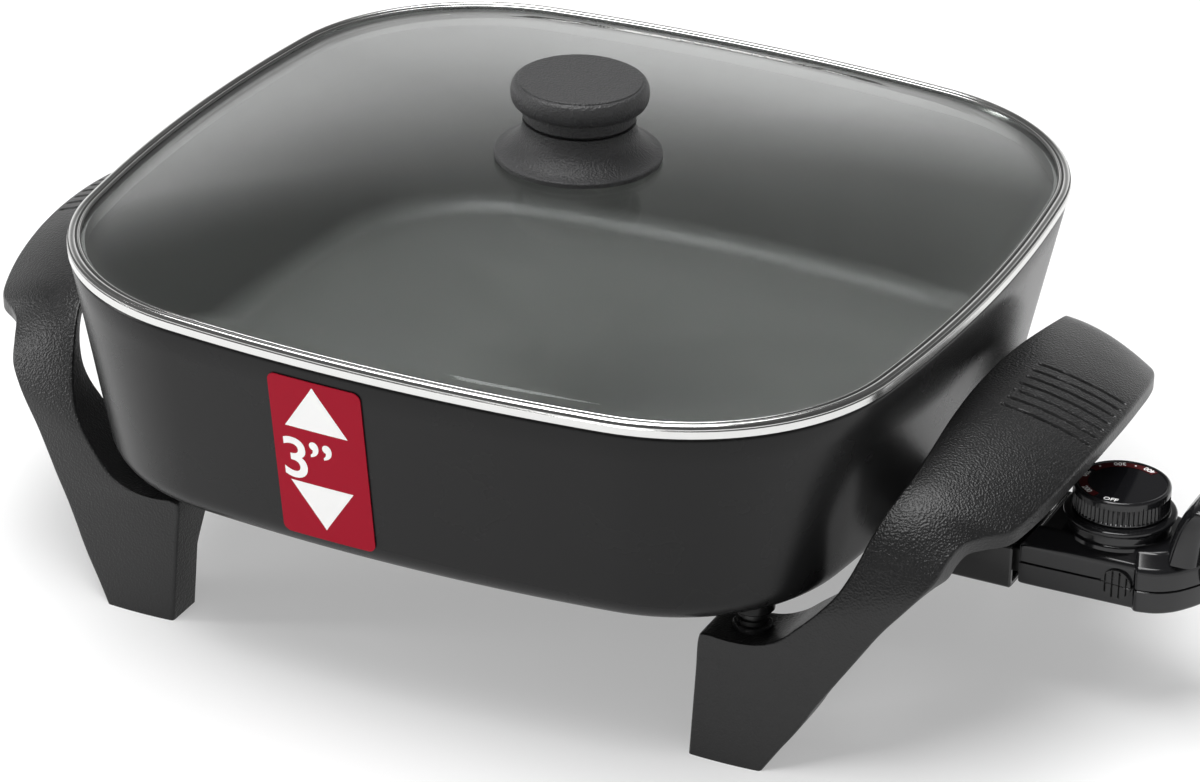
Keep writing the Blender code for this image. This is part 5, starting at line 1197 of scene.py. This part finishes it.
def make_case():
    """Lower tray, and upper shell with the stepped pedestal of the dial and the pull."""
    gloss = make_finish("gloss_case", (0.010, 0.010, 0.011), 0.13, mottle=(45.0, 0.08),
                        rough_spread=0.03, grains=((300.0, 0.000008, False),))
    low_part = CONTROL_PARTING_Z - PARTING_GAP / 2
    base = arc((CONTROL_BASE_ROUND, CONTROL_BOTTOM_Z + CONTROL_BASE_ROUND), CONTROL_BASE_ROUND,
               270.0, 180.0)
    floor_z = CONTROL_BOTTOM_Z + CONTROL_WALL
    lower = joined(base, ([0.0, PARTING_BEVEL], [low_part - PARTING_BEVEL, low_part]),
                   ([CONTROL_WALL, CONTROL_WALL], [low_part, floor_z]))
    add_piece("lower_shell", [skin(control_plan(*lower))], [gloss], "control",
              ("control_lower_case",))
    high_part = CONTROL_PARTING_Z + PARTING_GAP / 2
    shoulder_round = CONTROL_BEVEL * CONTROL_SHOULDER_SHARE
    shoulder = arc((shoulder_round, CONTROL_SHOULDER_Z - CONTROL_SHOULDER_DROP), shoulder_round,
                   180.0, 125.0)
    crown = arc((CONTROL_BEVEL + CONTROL_CROWN_INSET, CONTROL_TOP_Z - CONTROL_CROWN_ROUND),
                CONTROL_CROWN_ROUND, 130.0, 90.0)
    ceiling_z = CONTROL_TOP_Z - CONTROL_WALL
    inner = CONTROL_WALL
    upper = joined(([inner + CONTROL_BEVEL, inner, inner],
                    [ceiling_z, CONTROL_SHOULDER_Z, high_part]),
                   ([PARTING_BEVEL, 0.0], [high_part, high_part + PARTING_BEVEL]),
                   shoulder, crown)
    ring_z = PEDESTAL_TOP_Z
    fillet_radius = PEDESTAL_NECK_RADIUS + PEDESTAL_FILLET
    out, down = np.array(PEDESTAL_STEPS).T
    dish = PEDESTAL_RADIUS - np.array(PEDESTAL_DISH)
    pedestal = joined(
        ([POLE_RADIUS, fillet_radius], [ceiling_z] * 2),
        arc((fillet_radius, CONTROL_TOP_Z + PEDESTAL_FILLET_LIFT), PEDESTAL_FILLET, 260.0, 180.0),
        (PEDESTAL_NECK_RADIUS + out, ring_z - down),
        arc((PEDESTAL_RADIUS - PEDESTAL_LIP_ROUND, ring_z - PEDESTAL_LIP_DROP),
            PEDESTAL_LIP_ROUND, -60.0, 85.0),
        (dish, [ring_z - PEDESTAL_DISH_DEPTH, ring_z]),
        ([PEDESTAL_RADIUS / 2, POLE_RADIUS], [ring_z] * 2))
    centre = (DIAL_X, 0.0, 0.0)
    skins = [skin(control_plan(*upper)), skin(lathe(*pedestal, centre, points=KNOB_LATHE_POINTS)),
             skin(pull_rings())]
    add_piece("upper_shell", skins, [gloss], "control", ("control_upper_case",))


def make_pads():
    """Round pads in the parting line: discs whose face dips in upright flutes and along
    the parting line."""
    gloss = make_finish("pad_black", (0.012, 0.012, 0.012), 0.26, mottle=(150.0, 0.10))
    reach = PAD_RADIUS * np.concatenate([[1.0], np.linspace(1.0, 0.01, PAD_ROWS)])
    for side, name in ((-1, "front"), (1, "rear")):
        flat = lathe(reach, np.zeros(len(reach)), points=LATHE_POINTS * 2)
        across, up = flat[:, :, 0], flat[:, :, 1]
        wave = np.abs(np.sin(math.pi * (across / PAD_FLUTE_PITCH + 0.5)))
        within = np.hypot(across, up) < PAD_RADIUS * PAD_FLUTED_SHARE
        flute = (wave < PAD_FLUTE_SHARE) & within
        seam = np.abs(up + across * PAD_SEAM_TILT) < PAD_SEAM_HALF
        height = PAD_OUTER_Y - PAD_FLUTE_DEPTH * np.maximum(flute, seam / 2)
        height[0] = PAD_INNER_Y
        rings = np.stack([PAD_X + across, side * height, CONTROL_PARTING_Z + up], axis=2)
        add_piece(f"fluted_pad_{name}", [skin(rings)], [gloss], "control",
                  (f"finger_pad_{name}",))


def make_gland_and_nose():
    """Ribbed rubber cord gland at the rear and the phenolic nose block at the front."""
    rubber = make_finish("gland_rubber", (0.020, 0.020, 0.020), 0.58, mottle=(200.0, 0.12),
                         grains=((1400.0, 0.00002, False),))
    share = np.linspace(0.0, 1.0, GLAND_ROWS)
    along = GLAND_START_X + share * (GLAND_END_X - GLAND_START_X)
    outside = np.clip((along - CONTROL_END_X) / (GLAND_END_X - CONTROL_END_X), 0.0, 1.0)
    taper = GLAND_RADIUS - CONTROL_WALL * outside
    ribs = GLAND_RIB_DEPTH * (0.5 - 0.5 * np.cos(outside * GLAND_RIB_COUNT * 2 * math.pi))
    radius = np.concatenate([[GLAND_BORE_RADIUS], taper - ribs, [GLAND_BORE_RADIUS]])
    along = np.concatenate([[GLAND_START_X], along, [GLAND_END_X]])
    gland = lathe(radius, along, (0.0, 0.0, GLAND_Z), along_x=True)
    add_piece("gland_boot", [skin(gland, wrap=True)], [rubber], "control",
              ("cord_gland",))
    inset = np.array([NOSE_BEVEL, 0.0, 0.0])
    nose = rounded_box([NOSE_START_X, NOSE_START_X + NOSE_BEVEL, NOSE_END_X],
                       NOSE_HALF_WIDTH - inset, SOCKET_AXIS_Z - NOSE_HALF_HEIGHT + inset,
                       SOCKET_AXIS_Z + NOSE_HALF_HEIGHT - inset, NOSE_ROUND)
    block = make_finish("nose_phenolic", (0.014, 0.014, 0.014), 0.36, mottle=(120.0, 0.10))
    add_piece("nose", [skin(nose)], [block], "control", ("nose_block",))


make_case()
make_pads()
make_gland_and_nose()


# Dial: a ribbed gloss black knob with a recessed face, turned on its shaft. White numbers
# and dark red arcs are printed on the face, with OFF at the front.
DIAL_RADIUS = 0.0172
DIAL_BOTTOM_Z = 0.0694
DIAL_TOP_Z = 0.0789
DIAL_BEVEL = 0.0004
DIAL_RIB_START = 0.0008
DIAL_RIB_FULL = 0.0012
DIAL_RIB_TOP_Z = 0.0757
DIAL_BAND_BOTTOM_Z = 0.0760
DIAL_BAND_TOP_Z = 0.0779
DIAL_RIM_Z = 0.0785
DIAL_RIM_INSETS = (0.0002, 0.0008)
DIAL_RIB_DEPTH = 0.0006
DIAL_RIB_POWER = 0.6
DIAL_RIB_COUNT = 64
DIAL_RIB_POINTS = 8
DIAL_FACE_RADIUS = 0.0156
DIAL_FACE_DROP = 0.0004
DIAL_FACE_SEAT = 0.0003
DIAL_FACE_GAP = 0.0002
DIAL_FACE_THICK = 0.0002
DIAL_MARK_RADIUS = 0.0149
DIAL_MARKS = (
    ("OFF", -87.0), ("200", -132.0), ("250", 178.0), ("•", 145.0), ("300", 114.0),
    ("•", 91.0), ("400", 68.0),
)
DIAL_MARK_HEIGHT = 0.0021
ARC_INNER_RADIUS = 0.0122
ARC_OUTER_RADIUS = 0.0152
DIAL_ARCS = ((-178.0, -112.0), (56.0, 160.0))


def make_dial():
    """Body: a turned profile whose lower band is cut in ribs by a cosine of the turn, and
    the face plate that lies in its top."""
    seat_z = DIAL_TOP_Z - DIAL_FACE_DROP - DIAL_FACE_SEAT
    rim_inset, top_inset = DIAL_RIM_INSETS
    rows = (
        (POLE_RADIUS, DIAL_BOTTOM_Z, 0.0), (DIAL_RADIUS - 1.5 * DIAL_BEVEL, DIAL_BOTTOM_Z, 0.0),
        (DIAL_RADIUS, DIAL_BOTTOM_Z + DIAL_BEVEL, 0.0),
        (DIAL_RADIUS, DIAL_BOTTOM_Z + DIAL_RIB_START, 0.0),
        (DIAL_RADIUS, DIAL_BOTTOM_Z + DIAL_RIB_FULL, 1.0), (DIAL_RADIUS, DIAL_RIB_TOP_Z, 1.0),
        (DIAL_RADIUS, DIAL_BAND_BOTTOM_Z, 0.0), (DIAL_RADIUS, DIAL_BAND_TOP_Z, 0.0),
        (DIAL_RADIUS - rim_inset, DIAL_RIM_Z, 0.0), (DIAL_RADIUS - top_inset, DIAL_TOP_Z, 0.0),
        (DIAL_FACE_RADIUS + DIAL_FACE_GAP, DIAL_TOP_Z - DIAL_FACE_GAP / 2, 0.0),
        (DIAL_FACE_RADIUS, seat_z, 0.0), (DIAL_FACE_RADIUS / 2, seat_z, 0.0),
        (POLE_RADIUS, seat_z, 0.0),
    )
    radius, height, ribbed = np.array(rows).T
    rings = lathe(radius, height, points=DIAL_RIB_COUNT * DIAL_RIB_POINTS)
    turn = np.arctan2(rings[0, :, 1], rings[0, :, 0])
    cut = DIAL_RIB_DEPTH * (0.5 - 0.5 * np.cos(turn * DIAL_RIB_COUNT)) ** DIAL_RIB_POWER
    shrink = 1.0 - ribbed[:, None] * cut / DIAL_RADIUS
    rings[:, :, :2] *= shrink[:, :, None]
    rings += np.array([DIAL_X, 0.0, 0.0])
    body = make_finish("dial_gloss", (0.012, 0.012, 0.013), 0.20, mottle=(80.0, 0.08))
    add_piece("dial_knob", [skin(rings)], [body], "dial", ("dial",))
    face = make_finish("dial_face_gloss", (0.004, 0.004, 0.005), 0.10, mottle=(60.0, 0.08),
                       rough_spread=0.02, specular=0.25)
    face_z = DIAL_TOP_Z - DIAL_FACE_DROP
    edge = DIAL_FACE_RADIUS - DIAL_FACE_GAP
    disc = lathe([POLE_RADIUS, edge - DIAL_FACE_THICK / 2, edge, POLE_RADIUS],
                 [face_z - DIAL_FACE_THICK, face_z - DIAL_FACE_THICK, face_z, face_z],
                 (DIAL_X, 0.0, 0.0), points=KNOB_LATHE_POINTS)
    add_piece("dial_plate", [skin(disc)], [face], "dial", ("dial_face",))


def make_dial_marks():
    """Numbers set square to their own radii, tops to the middle, and arcs just below."""
    face_z = DIAL_TOP_Z - DIAL_FACE_DROP
    ink = make_finish("dial_ink", MARK_COLOUR, 0.5, mottle=(200.0, 0.04))
    red = make_finish("dial_red", (0.060, 0.002, 0.003), 0.4, mottle=(200.0, 0.08), specular=0.2)

    def place(points, proud):
        height = np.full((len(points), 1), face_z + 3 * INK_THICK + proud)
        return np.hstack([points + np.array([DIAL_X, 0.0]), height])

    def place_low(points, proud):
        return place(points, proud - 2 * INK_THICK)

    skins = []
    for body, degrees in DIAL_MARKS:
        points, faces = flat_points(text_outline(body, DIAL_MARK_HEIGHT))
        turn = math.radians(degrees)
        out = np.array([math.cos(turn), math.sin(turn)])
        side = np.array([-math.sin(turn), math.cos(turn)])
        points = points[:, :1] * side + (DIAL_MARK_RADIUS - points[:, 1:2]) * out
        skins.append(ink_skin(points, faces, place))
    add_piece("dial_numbers", skins, [ink], "dial")
    arcs = []
    for start, end in DIAL_ARCS:
        turn = np.radians(np.linspace(start, end, LATHE_POINTS))
        way = np.stack([np.cos(turn), np.sin(turn)], axis=1)
        grid = np.stack([ARC_INNER_RADIUS * way, ARC_OUTER_RADIUS * way])
        arcs.append(patch_skin(grid, place_low))
    add_piece("dial_arcs", arcs, [red], "dial")


make_dial()
make_dial_marks()


# Carried-over pieces: rods, pins, beads and switch parts keep their solids and get their
# real finishes.
FINISHES = {
    "element_steel": ((0.23, 0.22, 0.21), 0.46, 1.0, ("heating_element",)),
    "polished_probe": ((0.60, 0.60, 0.59), 0.22, 1.0, ("probe_rod", "dial_shaft")),
    "terminal_steel": ((0.50, 0.49, 0.47), 0.34, 1.0, (
        "terminal_pin_front", "terminal_pin_rear", "shroud_screw_front", "shroud_screw_rear",
        "case_screw_front", "case_screw_rear")),
    "steatite": ((0.74, 0.71, 0.64), 0.70, 0.0, (
        "terminal_bead_front", "terminal_bead_rear", "switch_base")),
    "contact_brass": ((0.66, 0.46, 0.17), 0.34, 1.0, (
        "socket_contact_front", "socket_contact_rear", "bimetal_blade")),
}
for finish_name, (colour, roughness, metallic, nodes) in FINISHES.items():
    finish = make_finish(finish_name, colour, roughness, metallic, mottle=(220.0, 0.10),
                         rough_spread=0.08, grains=((1600.0, 0.00001, False),))
    for node_name in nodes:
        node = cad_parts[node_name]
        node.data.materials.clear()
        node.data.materials.append(finish)
